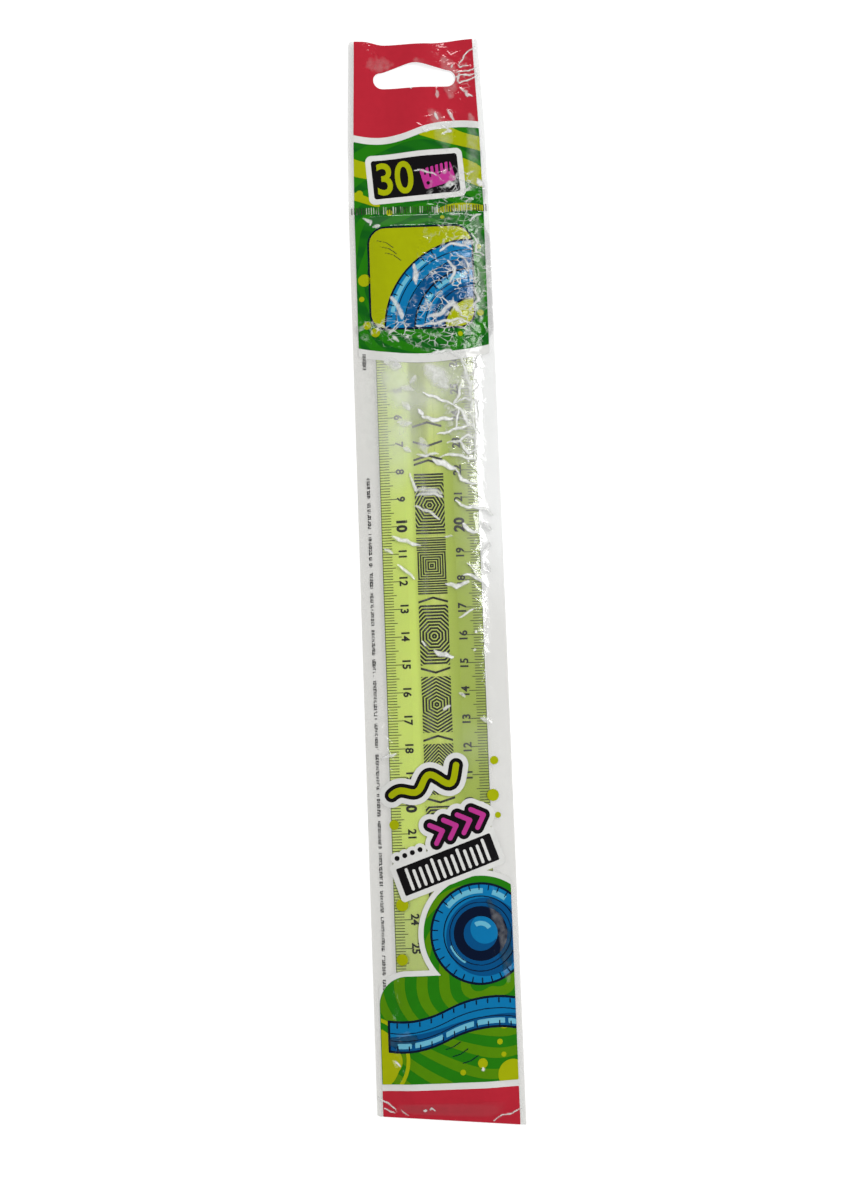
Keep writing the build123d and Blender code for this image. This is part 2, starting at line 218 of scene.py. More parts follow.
class RulerLooks(bpy.types.PropertyGroup):
    """Plastic, numerals and pattern of the ruler."""

    plastic: colour("Plastic", "Translucent body", srgb(207, 225, 114))
    shaded: colour("Shaded plastic", "Body on the side away from the light", srgb(168, 186, 80))
    # Painted shade: the plastic greyer and darker towards the foot
    foot_shade: colour("Plastic foot shade", "Body near the foot", srgb(172, 184, 128))
    # Painted shade: a darker lengthwise stripe, strongest towards the head
    shade_stripe: colour("Stripe", "Darker lengthwise stripe", srgb(150, 166, 52))
    # Painted shade along the ruler's cut edges
    edge: colour("Edge", "Painted shade along the cut edges", srgb(104, 120, 40))
    ink: colour("Ink", "Graduations, numerals and pattern", srgb(14, 18, 8))
    numeral: length("Numeral height", "Height of the plain numerals", 2.9)
    decade: length("Decade height", "Height of the numerals 10, 20 and 30", 3.7)
    inset: length("Numeral inset", "Edge of the ruler to the middle of a numeral", 7.4)
    mark_width: length("Mark width", "Width of a graduation", 0.25)
    band_width: length("Band width", "Width of the pattern in the middle", 10.6)
    line_width: length("Line width", "Width of a line in the pattern", 0.76)
    line_pitch: length("Line pitch", "Distance between lines in the pattern", 1.24)


class StageLooks(bpy.types.PropertyGroup):
    """Camera and lights."""

    distance: FloatProperty(
        name="Distance", description="Camera to the pouch", default=0.6, unit="LENGTH"
    )
    lens: FloatProperty(
        name="Lens", description="Focal length", default=50.53, unit="CAMERA"
    )
    tilt: FloatVectorProperty(
        name="Tilt",
        description="Camera rotation",
        subtype="EULER",
        unit="ROTATION",
        default=(math.radians(5.934), math.radians(-0.378), math.radians(-2.063)),
    )
    soft_power: power("Soft power", "Large soft light", 6.2)
    glint_power: power("Glint power", "Each small light that the folds mirror", 1.5)
    fill_power: power("Fill power", "Soft light from the left", 3.9)
    walls: share("Walls", "Strength of the light from all round", 0.48)
    ceiling: share("Ceiling", "Strength of the light from straight above", 0.08)


class RulerSceneLooks(bpy.types.PropertyGroup):
    """All settings of the scene."""

    film: PointerProperty(type=FilmLooks)
    inks: PointerProperty(type=PrintLooks)
    ruler: PointerProperty(type=RulerLooks)
    stage: PointerProperty(type=StageLooks)


# Shapes as fields: a field is positive inside its shape, and counts in millimetres


def smooth(value):
    """A soft step from 0 to 1."""
    value = np.clip(value, 0.0, 1.0)
    return value * value * (3 - 2 * value)


def both(*fields):
    """Inside every field."""
    result = fields[0]
    for other in fields[1:]:
        result = np.minimum(result, other)
    return result


def either(*fields):
    """Inside any field."""
    return -both(*[-f for f in fields])


def disc(x, y, middle, radius):
    """A round spot."""
    return radius - np.hypot(x - middle[0], y - middle[1])


def ring(x, y, middle, outer, width):
    """A round band inside the outer radius."""
    away = np.hypot(x - middle[0], y - middle[1])
    return both(outer - away, away - (outer - width))


def spots(x, y, rows):
    """Round spots, each with its middle and radius."""
    return either(*[disc(x, y, (px, py), radius) for px, py, radius in rows])


def polar(x, y, middle):
    """Distance from the middle, and the angle in degrees, clockwise from the left."""
    away = np.hypot(x - middle[0], y - middle[1])
    return away, np.degrees(np.arctan2(y - middle[1], middle[0] - x))


def arcs(x, y, middle, rows):
    """Short arcs round the middle, each with its radius, width, first and last angle."""
    away, angle = polar(x, y, middle)
    parts = []
    for radius, width, first, last in rows:
        along = both(angle - first, last - angle) * math.radians(1) * radius
        parts.append(both(width / 2 - np.abs(away - radius), along))
    return either(*parts)


def turned_axes(x, y, middle, turn):
    """Places along the axes of a shape that is turned by an angle in degrees."""
    angle = math.radians(turn)
    right = (x - middle[0]) * math.cos(angle) + (y - middle[1]) * math.sin(angle)
    up = (y - middle[1]) * math.cos(angle) - (x - middle[0]) * math.sin(angle)
    return right, up


def plate(x, y, middle, size, corner, turn=0.0):
    """A rectangle with rounded corners, turned by an angle in degrees."""
    right, up = turned_axes(x, y, middle, turn)
    over_x = np.abs(right) - (size[0] / 2 - corner)
    over_y = np.abs(up) - (size[1] / 2 - corner)
    outside = np.hypot(np.maximum(over_x, 0), np.maximum(over_y, 0))
    return corner - outside - np.minimum(np.maximum(over_x, over_y), 0)


def follow(x, y, points):
    """Distance to the line through the points, and how far along it that is, from 0 to 1."""
    nearest, share_along, done = np.full(np.shape(x), 1e9), np.zeros(np.shape(x)), 0.0
    whole = sum(math.dist(a, b) for a, b in zip(points, points[1:]))
    for (ax, ay), (bx, by) in zip(points, points[1:]):
        run, rise, part = bx - ax, by - ay, math.dist((ax, ay), (bx, by))
        along = np.clip(((x - ax) * run + (y - ay) * rise) / part ** 2, 0, 1)
        away = np.hypot(x - ax - along * run, y - ay - along * rise)
        share_along = np.where(away < nearest, (done + along * part) / whole, share_along)
        nearest = np.minimum(nearest, away)
        done += part
    return nearest, share_along


def stroke(x, y, points, width):
    """A line of one width with round ends through the points."""
    return width / 2 - follow(x, y, points)[0]


def wave(x, middle, tilt, sags):
    """Height at x of a printed curve of arcs in a row, one for each sag."""
    place = np.clip((x + HALF_WIDTH) / (2 * HALF_WIDTH), 0, 1) * len(sags)
    part = np.minimum(place.astype(int), len(sags) - 1)
    within = place - part
    rise = tilt * (place / len(sags) - 0.5)
    return middle + rise - 4 * np.array(sags)[part] * within * (1 - within)


def foot_line(x):
    """Height of the slanted cut at the foot."""
    return FOOT_Y + FOOT_DROP * (HALF_WIDTH - x) / (2 * HALF_WIDTH)


def hang_hole(x, y):
    """The film round the hang hole: positive outside the slot and its soft hump."""
    lobe_y = TOP_Y - HOLE_DROP + HOLE_LOBE / 2
    reach = (HOLE_WIDTH - HOLE_LOBE) / 2
    lobe = HOLE_LOBE / 2 - np.hypot(np.maximum(np.abs(x) - reach, 0), y - lobe_y)
    lean = math.hypot(1, HOLE_SLOPE)
    roof = lobe_y + HOLE_LOBE / 2 * lean + HOLE_SLOPE * (reach - np.hypot(x, HOLE_SOFT))
    end = reach + HOLE_LOBE / 2 * HOLE_SLOPE / lean
    return -either(lobe, both((roof - y) / lean, y - lobe_y, end - np.abs(x)))


def pouch_outline(x, y, inset=0.0):
    """The pouch inside its cut edge, with the long sides drawn in by inset."""
    rise = np.clip((y - WELD_TOP) / (TOP_Y - WELD_TOP), 0, 1)
    side = HALF_WIDTH - HEADER_TAPER * rise - inset - np.abs(x)
    head = TOP_Y - y
    corner = CORNER_RADIUS - np.hypot(CORNER_RADIUS - side, CORNER_RADIUS - head)
    at_corner = (side < CORNER_RADIUS) & (head < CORNER_RADIUS) & (inset == 0)
    return both(np.where(at_corner, corner, both(side, head)), y - foot_line(x))


def web_outline(x, y):
    """One web with its hang hole."""
    return both(pouch_outline(x, y), hang_hole(x, y))


def printed_area(x, y):
    """Where the pouch may be printed."""
    return pouch_outline(x, y, PRINT_MARGIN)


# Film surface

# Soft patches: middle, reach both ways and strength
SLACK_SPOTS = (
    (13, 56, 6, 22, 0.4), (15, 8, 6, 20, 0.08), (13, 106, 12, 22, 0.6), (-4, 88, 18, 7, 0.45),
    (19, 184, 6, 10, 0.2), (8, 164, 10, 6, 0.15), (14, 140, 9, 8, 0.4), (-18, -64, 6, 16, 0.1),
    (0, -189, 22, 4, 0.1),
)
# Painted glare: whitish patches laid into the film's haze
GLARE_HAZE_SPOTS = ((5, 66, 9, 16, 0.22), (-11, 62, 8, 24, 0.36), (12, -64, 8, 8, 0.05))
# Folds of the film and flat sheens, which carry a painted highlight: width, height (0 for a
# sheen with no fold), how strongly it shines, then x and y of its points
FOLDS_AND_SHEENS = (
    (0.9, 0.4, 0.95, -1, 63.2, 2, 62.2, 5.5, 60.6, 10, 58.6),
    (0.9, 0.35, 0.75, 10, 58.6, 12.2, 62.5, 13, 66.5),
    (1, 0.35, 0.9, 10, 58.6, 12.6, 56.4, 14.6, 53, 15.2, 50.4),
    (0.6, 0.25, 0.8, 11.6, 57, 11.4, 53.6, 10.4, 50),
    (0.8, 0.35, 0.9, 3.4, 47.8, 8, 48.7, 12.5, 50.2, 17.4, 51.2),
    (1.2, 0.35, 0.95, -1.4, 54.8, 1.8, 53.2, 9.6, 53.6), (1.3, 0.25, 0.85, -3, 57, -1.4, 55.4),
    (0.9, 0.25, 0.6, -4.4, 40.4, -1, 40.2, 4, 40.8),
    (1.8, 0.3, 0.85, 1.6, 38.4, 5.5, 37, 9.6, 34.8),
    (0.9, 0.3, 0.75, 4.5, 39.6, 9, 40.4, 13, 39.2, 17.8, 38),
    (0.9, 0.35, 0.9, 9.8, 34.4, 12, 31.2, 14.5, 29.6, 17.4, 29.6),
    (0.8, 0.3, 0.8, 11.5, 45.5, 13.2, 42.4, 15.2, 40.6, 17.8, 42.4),
    (0.8, 0.3, 0.7, 7.4, 44.6, 11.5, 45.2, 15, 47.2, 17.8, 46),
    (1.1, 0.3, 0.6, 13.5, 75, 15.2, 70, 16.4, 64, 16.6, 56),
    (0.9, 0.3, 0.7, 1.5, 77.4, 8, 78.9, 12.6, 77, 15.4, 73.4),
    (0.7, 0.25, 0.65, 11, 59.4, 14, 60.8, 17.4, 60.2),
    (0.7, 0.25, 0.6, 12.6, 64.6, 15.5, 65, 17.8, 67.4),
    (0.6, 0.25, 0.5, 13, 69, 15.6, 68.2, 17.8, 70.8),
    (0.7, 0.25, 0.6, 15.8, 55.4, 17.4, 51, 17.6, 45, 16.8, 36),
    (0.9, 0.3, 0.6, -6.6, 33.6, -5.8, 30, -4.4, 27),
    (0.8, 0.3, 0.5, -5.4, 21.8, -1.5, 20.2, 1.4, 18.6, 3.8, 16.4),
    (1.1, 0.25, 0.55, -4.6, 25.6, 0, 26.4, 4.4, 25),
    (0.9, 0.4, 0.9, 9.3, 23.6, 11.2, 21.4, 15, 20.6, 20.4, 20.4, 22.4, 18),
    (1.1, 0.4, 0.9, 11.8, 15, 13.8, 12.2, 17.4, 11.6), (1.3, 0.3, 0.6, 19.6, 14.8, 21.8, 12.8),
    (1.2, 0.4, 0.8, -14, 10.8, -9.5, 9.2, -4, 7.2), (1, 0.3, 0.45, -17.2, 6.8, -14.2, 4.8),
    (1, 0.4, 0.75, -12, 0.4, -9.4, -1.6, -6.8, -4.6),
    (1.3, 0.4, 0.8, 5, -6.8, 8.6, -7.8, 13, -6.4),
    (0.8, 0.4, 0.9, 11.2, -3.6, 15, -4.2, 17.4, -6, 19.6, -7.8),
    (0.6, 0.3, 0.6, 12.8, 0.6, 14.6, -1.6, 16.2, -4.4), (1, 0.3, 0.6, 21.2, 7.6, 18.4, 3.4),
    (0.7, 0.3, 0.5, 19.2, 0.8, 21.4, -2.4), (0.7, 0.2, 0.5, 5.2, 10.4, 7.8, 10.2),
    (0.7, 0.3, 0.7, 9.2, -19.4, 11.4, -17.6, 14.8, -16.4),
    (1.2, 0.2, 0.9, 14.6, -24.4, 15.3, -24.2), (1, 0.2, 0.55, 13.6, -31, 14.4, -31.2),
    (1.3, 0.3, 0.85, -0.4, -30.8, 2.4, -32.2, 6.2, -33.2),
    (0.7, 0.2, 0.7, -4.6, -27.4, -3.4, -28.8), (0.8, 0.2, 0.6, 2.2, -52.4, 4.8, -50.4),
    (0.8, 0.2, 0.45, 8, -46, 10.2, -47.8), (1, 0.2, 0.55, 15.4, -55.4, 18.6, -57.2),
    (0.9, 0.2, 0.55, -20.4, -68.6, -15, -66.8),
    (0.4, 0.4, 0.75, 17.2, 188.2, 19.2, 191.2, 23.4, 194.6),
    (0.5, 0.3, 0.6, 17, 188.4, 17.6, 187, 20.6, 187.2),
    (0.4, 0.4, 0.75, 15.3, 185.4, 18.6, 185, 24, 186.2),
    (0.4, 0.4, 0.75, 15.6, 183.4, 19, 183.8, 24.2, 183.6),
    (0.4, 0.4, 0.75, 16.2, 180.2, 19.4, 181.6, 24.2, 182.6),
    (0.8, 0.3, 0.5, 16.8, 184.6, 16.6, 180.6), (0.7, 0.2, 0.6, 14, 187, 14.8, 188),
    (0.6, 0.2, 0.6, 19.2, 175.8, 21.6, 175.2), (0.7, 0.3, 0.55, 17, 178.6, 19.2, 177.4, 20, 175),
    (1.3, 0.2, 0.7, -1.4, 181, -1.1, 179.8), (1, 0.2, 0.65, 7.5, 169, 7.9, 166.6),
    (1, 0.2, 0.75, 2.2, 163, 4.6, 162.4),
    (0.7, 0.2, 0.65, 9.2, 165.2, 10.6, 163.6, 12.8, 162.4, 9.8, 161),
    (0.8, 0.2, 0.4, 11.6, 170.6, 14.6, 166), (1, 0.2, 0.3, 8, 178.6, 8.6, 175.4),
    (0.6, 0.2, 0.55, -1.6, 147.6, 2.4, 147.4, 7, 145.6),
    (0.8, 0.3, 0.6, 19, 122.6, 21, 120, 20.4, 115.8, 23.4, 115),
    (0.8, 0.3, 0.5, 18.6, 127.6, 20.6, 129.4, 22.6, 130.4),
    (0.8, 0.3, 0.7, 7, 116, 10.5, 118.6, 15, 118.4, 19, 117),
    (1, 0.3, 0.6, 10, 112.2, 12.6, 109.6, 10.6, 104.4),
    (0.8, 0.3, 0.6, 13.4, 115, 16.6, 112.6, 17.4, 109.6), (1.5, 0.3, 0.6, -2.4, 111.4, -2, 104),
    (1.5, 0.3, 0.45, -11.4, 99.4, -9, 96.2, -7.4, 91),
    (1.4, 0.3, 0.55, 2, 91.4, 7, 92.8, 11, 96.6, 13.6, 93),
    (0.9, 0.3, 0.6, -2.4, 88.2, 6, 89.4, 14, 90.4, 17.8, 88.6),
    (1.2, 0.2, 0.5, -11.4, 84.6, -9.6, 82.8), (1, 0.3, 0.55, 18.6, 95.2, 20.6, 98, 19.6, 101.8),
    (1.1, 0.3, 0.55, -20.4, 129.8, -17.8, 128.8, -18.4, 127.2),
    (1, 0.2, 0.5, -17.4, 126, -14.6, 126.8), (1.7, 0.2, 0.75, 22, 143.6, 23.4, 141.4),
    (0.8, 0.2, 0.45, 18, 145.8, 21, 146.6),
    (0.4, 0.45, 0.75, -25.4, -186, -22.4, -188.2, -19.2, -190.2, -19.4, -191.4),
    (0.4, 0.3, 0.7, -23.6, -190.4, -19.8, -191.6), (0.4, 0.3, 0.45, -17.4, -191, -14.8, -192.8),
    (0.4, 0.45, 0.75, 14.2, -195.6, 17, -194.2, 25, -192),
    (0.9, 0.3, 0.75, -9.8, -191, -8.8, -191.3),
    (0.6, 0.2, 0.6, -7.6, -191.2, -6.6, -190.7, -5.6, -191.3),
    (1, 0.2, 0.9, 11.3, -177.2, 11.5, -178.2), (0.6, 0.2, 0.9, -19.2, -173.8, -17.6, -176),
    # Sheens of height 0: painted highlights with no fold under them
    (5.6, 0, 0.6, 0.8, 73, 4, 70, 7.4, 65.6), (3.2, 0, 0.5, -14.2, 75.4, -8.8, 73.2),
    (2, 0, 0.42, -8.8, 65.8, -4.8, 64.6), (1.5, 0, 0.55, -5.2, 67, -3.6, 69.6),
    (2, 0, 0.55, -8.6, 59.8, -6.2, 57.6), (2, 0, 0.6, -10.2, 52.6, -6, 52.2),
    (1.8, 0, 0.55, -8.8, 43, -6.4, 42.2), (3, 0, 0.36, -2.6, 46.4, -0.4, 41.6),
    (2, 0, 0.45, -4.6, 27.8, 0.4, 27.4, 4.4, 26.4), (3.2, 0, 0.26, 14.6, 72, 15.8, 60, 15.4, 44),
    (8, 0, 0.08, -17, 188.6, -9, 190), (6, 0, 0.075, 1, 191, 4.6, 186),
    (6, 0, 0.11, 11.6, 191, 14, 184, 13.4, 176), (7, 0, 0.1, 6, 170, 10, 163, 11, 156),
    (4.4, 0, 0.12, 20.4, 168, 21, 152, 20.6, 140),
    (3.6, 0, 0.13, 21.6, 128, 21.8, 108, 21.2, 90), (6, 0, 0.07, -20, -168, -12, -166),
    (4, 0, 0.09, 16, -120, 21, -132, 21.6, -148),
)
# Slopes of the front web, height of a fold and the limit of the crest
HEAD_SLOPE = 5.2
FOOT_SEAM = 0.8
CREASE_RISE = 0.3
CREST_LIMIT = 3.05

# Curl of the header's cut edge
CURL_START = 158.0
CURL_DEPTH = 1.3
CURL_PINCH = 0.018


def patches(x, y, rows, total):
    """Soft patches added to a value."""
    for px, py, wide, tall, amount in rows:
        total = total + amount * np.exp(-(((x - px) / wide) ** 2) - ((y - py) / tall) ** 2)
    return total


def folds_and_sheens():
    """Points, width, height and painted shine of each fold and sheen."""
    for wide, tall, shine, *flat in FOLDS_AND_SHEENS:
        yield list(zip(flat[::2], flat[1::2])), wide, tall, shine


def slackness(x, y):
    """How loosely the film lies, from 0 to 1."""
    return np.minimum(patches(x, y, SLACK_SPOTS, np.zeros_like(x)), 1.0)


def looseness(y):
    """How far the webs of the header hang apart, from 0 to 1."""
    return smooth((y - WELD_TOP - 2.0) / 24.0)


def film_surface(film):
    """Heights of the front web's outer face on the lattice, in millimetres."""
    x, y = np.meshgrid(XS, YS, indexing="ij")
    crown = film.crown / MM
    web = 2 * film.thickness / MM + 0.06
    side = smooth((SEAM_X - np.abs(x)) / (SEAM_X - CREST_HALF))
    head = smooth((WELD_FOOT - y) / HEAD_SLOPE)
    foot_edge = foot_line(x) + FOOT_SEAM
    foot = smooth((y - foot_edge) / (RULER_LOW[1] + 0.1 - foot_edge))
    cover = side * both(head, foot)
    header = np.maximum(looseness(y), 0.7 * smooth((FOOT_BAND_Y - y) / 3.0))
    room = np.maximum(smooth((SEAM_X - np.abs(x)) / 8.0) * both(head, foot), header)
    slack = slackness(x, y)
    swell = np.array([
        [noise.noise(Vector((px / 30, py / 42, 5.3))) for py in YS[::8]] for px in XS[::8]
    ])
    swell = np.array([np.interp(YS, YS[::8], row) for row in swell])
    swell = np.array([np.interp(XS, XS[::8], row) for row in swell.T]).T
    folds, dents = crumples(x, y, slack)
    height = film.crumple / MM * slack * (folds + 0.6 * dents)
    for points, wide, tall, _ in folds_and_sheens():
        near = stroke(x, y, points, 0.0)
        height = height + CREASE_RISE * tall * np.exp(-((near / wide) ** 2)) * (1 - 0.5 * slack)
    bands = 0.5 + 0.5 * np.sin((x + 5.0 + 1.5 * np.sin(y / 8.0)) * 2 * math.pi / 27.0)
    loose = film.header_wave / MM * np.where(y > 0, header, 0) * (0.15 + bands + 0.5 * swell)
    ripple = 0.1 * (1 + swell) * cover
    total = web + (crown - web) * cover + ripple + room * np.minimum(height, 0.5)
    return np.minimum(total, CREST_LIMIT) + np.maximum(loose, 0.0)


def crumples(x, y, slack):
    """Sharp folds between facets and short dents, only where the film is slack."""
    folds, dents = np.zeros_like(x), np.zeros_like(x)
    for i, j in np.argwhere(slack > 0.05):
        px, py = x[i, j], y[i, j]
        bend = noise.noise(Vector((px / 9, py / 9, 1.7)))
        cell = Vector((px / 8.0 + 0.4 * bend, py / 6.5 - 0.4 * bend, 0.4))
        near = noise.voronoi(cell)[0]
        kept = noise.noise(Vector((px / 5, py / 5, 2.6)))
        folds[i, j] = math.exp(-(((near[1] - near[0]) / 0.09) ** 2)) * (0.7 + kept)
        fleck = noise.noise(Vector((px / 3.6, py / 2.4 + bend, 8.1)))
        gate = noise.noise(Vector((px / 8, py / 6, 3.9)))
        dents[i, j] = max(0.0, fleck) * max(0.0, gate + 0.2) * 4.0
    return np.maximum(folds, 0.0), np.minimum(dents, 1.0)


def film_haze_and_glare(x, y):
    """How milky the film is: a little all over and more at the margins, with painted glare laid
    in as a patch at the right of the window and as the glare spots.
    """
    right = smooth((x - 6.0) / 12.0) * np.exp(-(((y - 48.0) / 44.0) ** 2))
    haze_and_glare = 0.006 + 0.14 * right * smooth((19.5 - x) / 1.5) + 0.01 * smooth((np.abs(x) - 18) / 4)
    return patches(x, y, GLARE_HAZE_SPOTS, haze_and_glare)


def film_glare(x, y):
    """Painted highlight: how strongly the film is painted white along its folds and sheens,
    which taper to their ends.
    """
    bent_x = x + 0.24 * np.sin(1.1 * y + 0.5 * x) + 0.06 * np.sin(2.9 * y - x)
    bent_y = y + 0.24 * np.sin(1.2 * x - 0.4 * y) + 0.06 * np.sin(2.7 * x + y)
    glare = np.zeros_like(x)
    for points, wide, rise, shine in folds_and_sheens():
        firm = 1.5 if rise else 1.1
        low, high = np.min(points, 0) - 3 * wide, np.max(points, 0) + 3 * wide
        close = (x > low[0]) & (x < high[0]) & (y > low[1]) & (y < high[1])
        away, along = follow(bent_x[close], bent_y[close], points)
        reach = wide * (0.3 + 0.45 * np.sin(math.pi * along) ** 0.7)
        here = shine * smooth(firm - (firm - 0.2) * away / reach)
        glare[close] = np.maximum(glare[close], here)
    return glare


def margin_shade(x, y):
    """How grey the clear margins look: most at the left and low down at the right."""
    right = smooth((18.0 - y) / 50.0) * smooth((x - 10.0) / 8.0)
    left = smooth((-10.0 - x) / 8.0) * (1 - 0.6 * smooth((y - WELD_FOOT) / 6.0))
    return np.where(x < 0, left, 0.72 * right)


FILM_MARKS = (("slack", slackness), ("haze_and_glare", film_haze_and_glare))


def read_surface(heights, x, y):
    """Heights between the lattice points."""
    u = np.clip((np.asarray(x) + HALF_WIDTH) / (2 * HALF_WIDTH) * COLUMNS, 0, COLUMNS - 1e-6)
    v = np.clip((np.asarray(y) - FOOT_Y) / (TOP_Y - FOOT_Y) * ROWS, 0, ROWS - 1e-6)
    i, j = u.astype(int), v.astype(int)
    s, t = u - i, v - j
    low = heights[i, j] * (1 - s) + heights[i + 1, j] * s
    high = heights[i, j + 1] * (1 - s) + heights[i + 1, j + 1] * s
    return low * (1 - t) + high * t


def ruler_top(x, _y):
    """Height of the ruler's upper side: bevels, land and groove."""
    away = np.abs(np.asarray(x))
    bevel = (RULER_TOP_Z - EDGE_Z) * (RULER_HALF - away) / (RULER_HALF - LAND_HALF)
    groove = GROOVE_DEPTH * np.clip((GROOVE_HALF - away) / GROOVE_DEPTH, 0, 1)
    return np.minimum(EDGE_Z + bevel, RULER_TOP_Z) - groove


def header_curl(points):
    """Draws the header's cut edge down in the middle, where the film curls."""
    x, y = points[:, 0], points[:, 1]
    rise = smooth((y - CURL_START) / (TOP_Y - CURL_START))
    dip = smooth((x + 19.0) / 8.0) * smooth((20.0 - x) / 14.0)
    points[:, 1] = y - CURL_DEPTH * rise * rise * dip
    points[:, 0] = x * (1 - CURL_PINCH * rise)
    return points


# Meshes


def region(inside, low=None, high=None, step=1):
    """Flat polygons that fill a field on the lattice, with its edge cut between points."""
    low = low if low is not None else (XS[0], YS[0])
    high = high if high is not None else (XS[-1], YS[-1])
    first = [max(0, int((low[k] - v[0]) / STEP) - 1) for k, v in enumerate((XS, YS))]
    last = [int((high[k] - v[0]) / STEP) + 3 for k, v in enumerate((XS, YS))]
    first = [n - n % step for n in first]
    xs, ys = XS[first[0]:last[0]:step], YS[first[1]:last[1]:step]
    gx, gy = np.meshgrid(xs, ys, indexing="ij")
    value = inside(gx, gy)
    value = np.where(np.abs(value) < 1e-3, np.where(value < 0, -1e-3, 1e-3), value)
    nx, ny = value.shape
    solid = value > 0
    across = value[:-1] / np.where(value[:-1] == value[1:], 1, value[:-1] - value[1:])
    upward = value[:, :-1] / np.where(
        value[:, :-1] == value[:, 1:], 1, value[:, :-1] - value[:, 1:]
    )
    points = np.concatenate([
        np.stack([gx.ravel(), gy.ravel()], 1),
        np.stack([(gx[:-1] + across * (gx[1:] - gx[:-1])).ravel(), gy[:-1].ravel()], 1),
        np.stack([
            gx[:, :-1].ravel(),
            (gy[:, :-1] + upward * (gy[:, 1:] - gy[:, :-1])).ravel(),
        ], 1),
    ])
    node = np.arange(nx * ny).reshape(nx, ny)
    edge_x = nx * ny + np.arange((nx - 1) * ny).reshape(nx - 1, ny)
    edge_y = nx * ny + (nx - 1) * ny + np.arange(nx * (ny - 1)).reshape(nx, ny - 1)
    corner = (node[:-1, :-1], node[1:, :-1], node[1:, 1:], node[:-1, 1:])
    edge = (edge_x[:, :-1], edge_y[1:], edge_x[:, 1:], edge_y[:-1])
    full = (solid[:-1, :-1], solid[1:, :-1], solid[1:, 1:], solid[:-1, 1:])
    kind = sum(f.astype(int) << k for k, f in enumerate(full))
    faces = []
    for case in range(1, 16):
        chosen = kind == case
        walk = []
        for k in range(4):
            here, there = case >> k & 1, case >> (k + 1) % 4 & 1
            if here:
                walk.append(corner[k][chosen])
            if here != there:
                walk.append(edge[k][chosen])
        faces += np.stack(walk, 1).tolist()
    used = np.unique(np.concatenate([np.array(f) for f in faces]))
    renumber = np.zeros(len(points), int)
    renumber[used] = np.arange(len(used))
    return points[used], [renumber[f].tolist() for f in faces]


def slab(points, faces, thickness):
    """A closed sheet whose upper side is the given faces."""
    count = len(points)
    under = points - np.array((0, 0, thickness))
    edges = [(a, b) for face in faces for a, b in zip(face, face[1:] + face[:1])]
    known = set(edges)
    rim = [(a, b) for a, b in edges if (b, a) not in known]
    below = [[v + count for v in reversed(face)] for face in faces]
    sides = [[b, a, a + count, b + count] for a, b in rim]
    keys = {tuple(sorted(e)) for e in rim}
    keys |= {(a + count, b + count) for a, b in keys}
    return np.concatenate([points, under]), faces + below + sides, keys


def make_object(name, points, faces, material, sharp=()):
    """A smooth-shaded mesh object at the origin from points in millimetres."""
    mesh = bpy.data.meshes.new(name)
    mesh.from_pydata((np.asarray(points) * MM).tolist(), [], faces)
    mesh.update()
    mesh.polygons.foreach_set("use_smooth", np.ones(len(mesh.polygons), bool))
    if sharp:
        ends = np.zeros(len(mesh.edges) * 2, int)
        mesh.edges.foreach_get("vertices", ends)
        ends = np.sort(ends.reshape(-1, 2), 1)
        wanted = np.array(sorted(sharp))
        total = len(points) + 1
        marks = np.isin(ends[:, 0] * total + ends[:, 1], wanted[:, 0] * total + wanted[:, 1])
        mesh.attributes.new("sharp_edge", "BOOLEAN", "EDGE").data.foreach_set("value", marks)
    mesh.materials.append(material)
    made = bpy.data.objects.new(name, mesh)
    bpy.context.scene.collection.objects.link(made)
    return made


class Layer:
    """Lays flat shapes on a surface as thin closed sheets."""

    def __init__(self, surface, body, marks=()):
        self.surface = surface
        self.body = body
        self.marks = marks

    def lay(self, name, flat, material, slot, lift, thickness=INK, replaced=()):
        """Makes one piece from flat polygons, gives it its body and hides the nodes that it
        replaces. The slot is not used.
        """
        points, faces = flat
        heights = self.surface(points[:, 0], points[:, 1]) + lift
        solid = np.column_stack([points, heights])
        if self.body == "pouch":
            solid = header_curl(solid)
        whole, all_faces, keys = slab(solid, faces, thickness)
        made = make_object(name, whole, all_faces, material, keys)
        for mark, rule in self.marks:
            values = rule(points[:, 0], points[:, 1])
            made.data.attributes.new(mark, "FLOAT", "POINT").data.foreach_set(
                "value", np.concatenate([values, values])
            )
        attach(made, self.body)
        if replaced:
            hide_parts(*replaced)
        return made


def flat_from_object(source):
    """Flat polygons in millimetres from what an object evaluates to; the object goes."""
    view = bpy.context.evaluated_depsgraph_get()
    mesh = bpy.data.meshes.new_from_object(source.evaluated_get(view))
    points = np.zeros(len(mesh.vertices) * 3)
    mesh.vertices.foreach_get("co", points)
    faces = [list(p.vertices) for p in mesh.polygons]
    points = points.reshape(-1, 3)[:, :2] / MM
    bpy.data.objects.remove(source)
    bpy.data.meshes.remove(mesh)
    return points, [upward(points, f) for f in faces]


def upward(points, face):
    """The face's points in the order that makes it look up."""
    x, y = points[face, 0], points[face, 1]
    area = np.sum(x * np.roll(y, -1) - np.roll(x, -1) * y)
    return face if area > 0 else face[::-1]


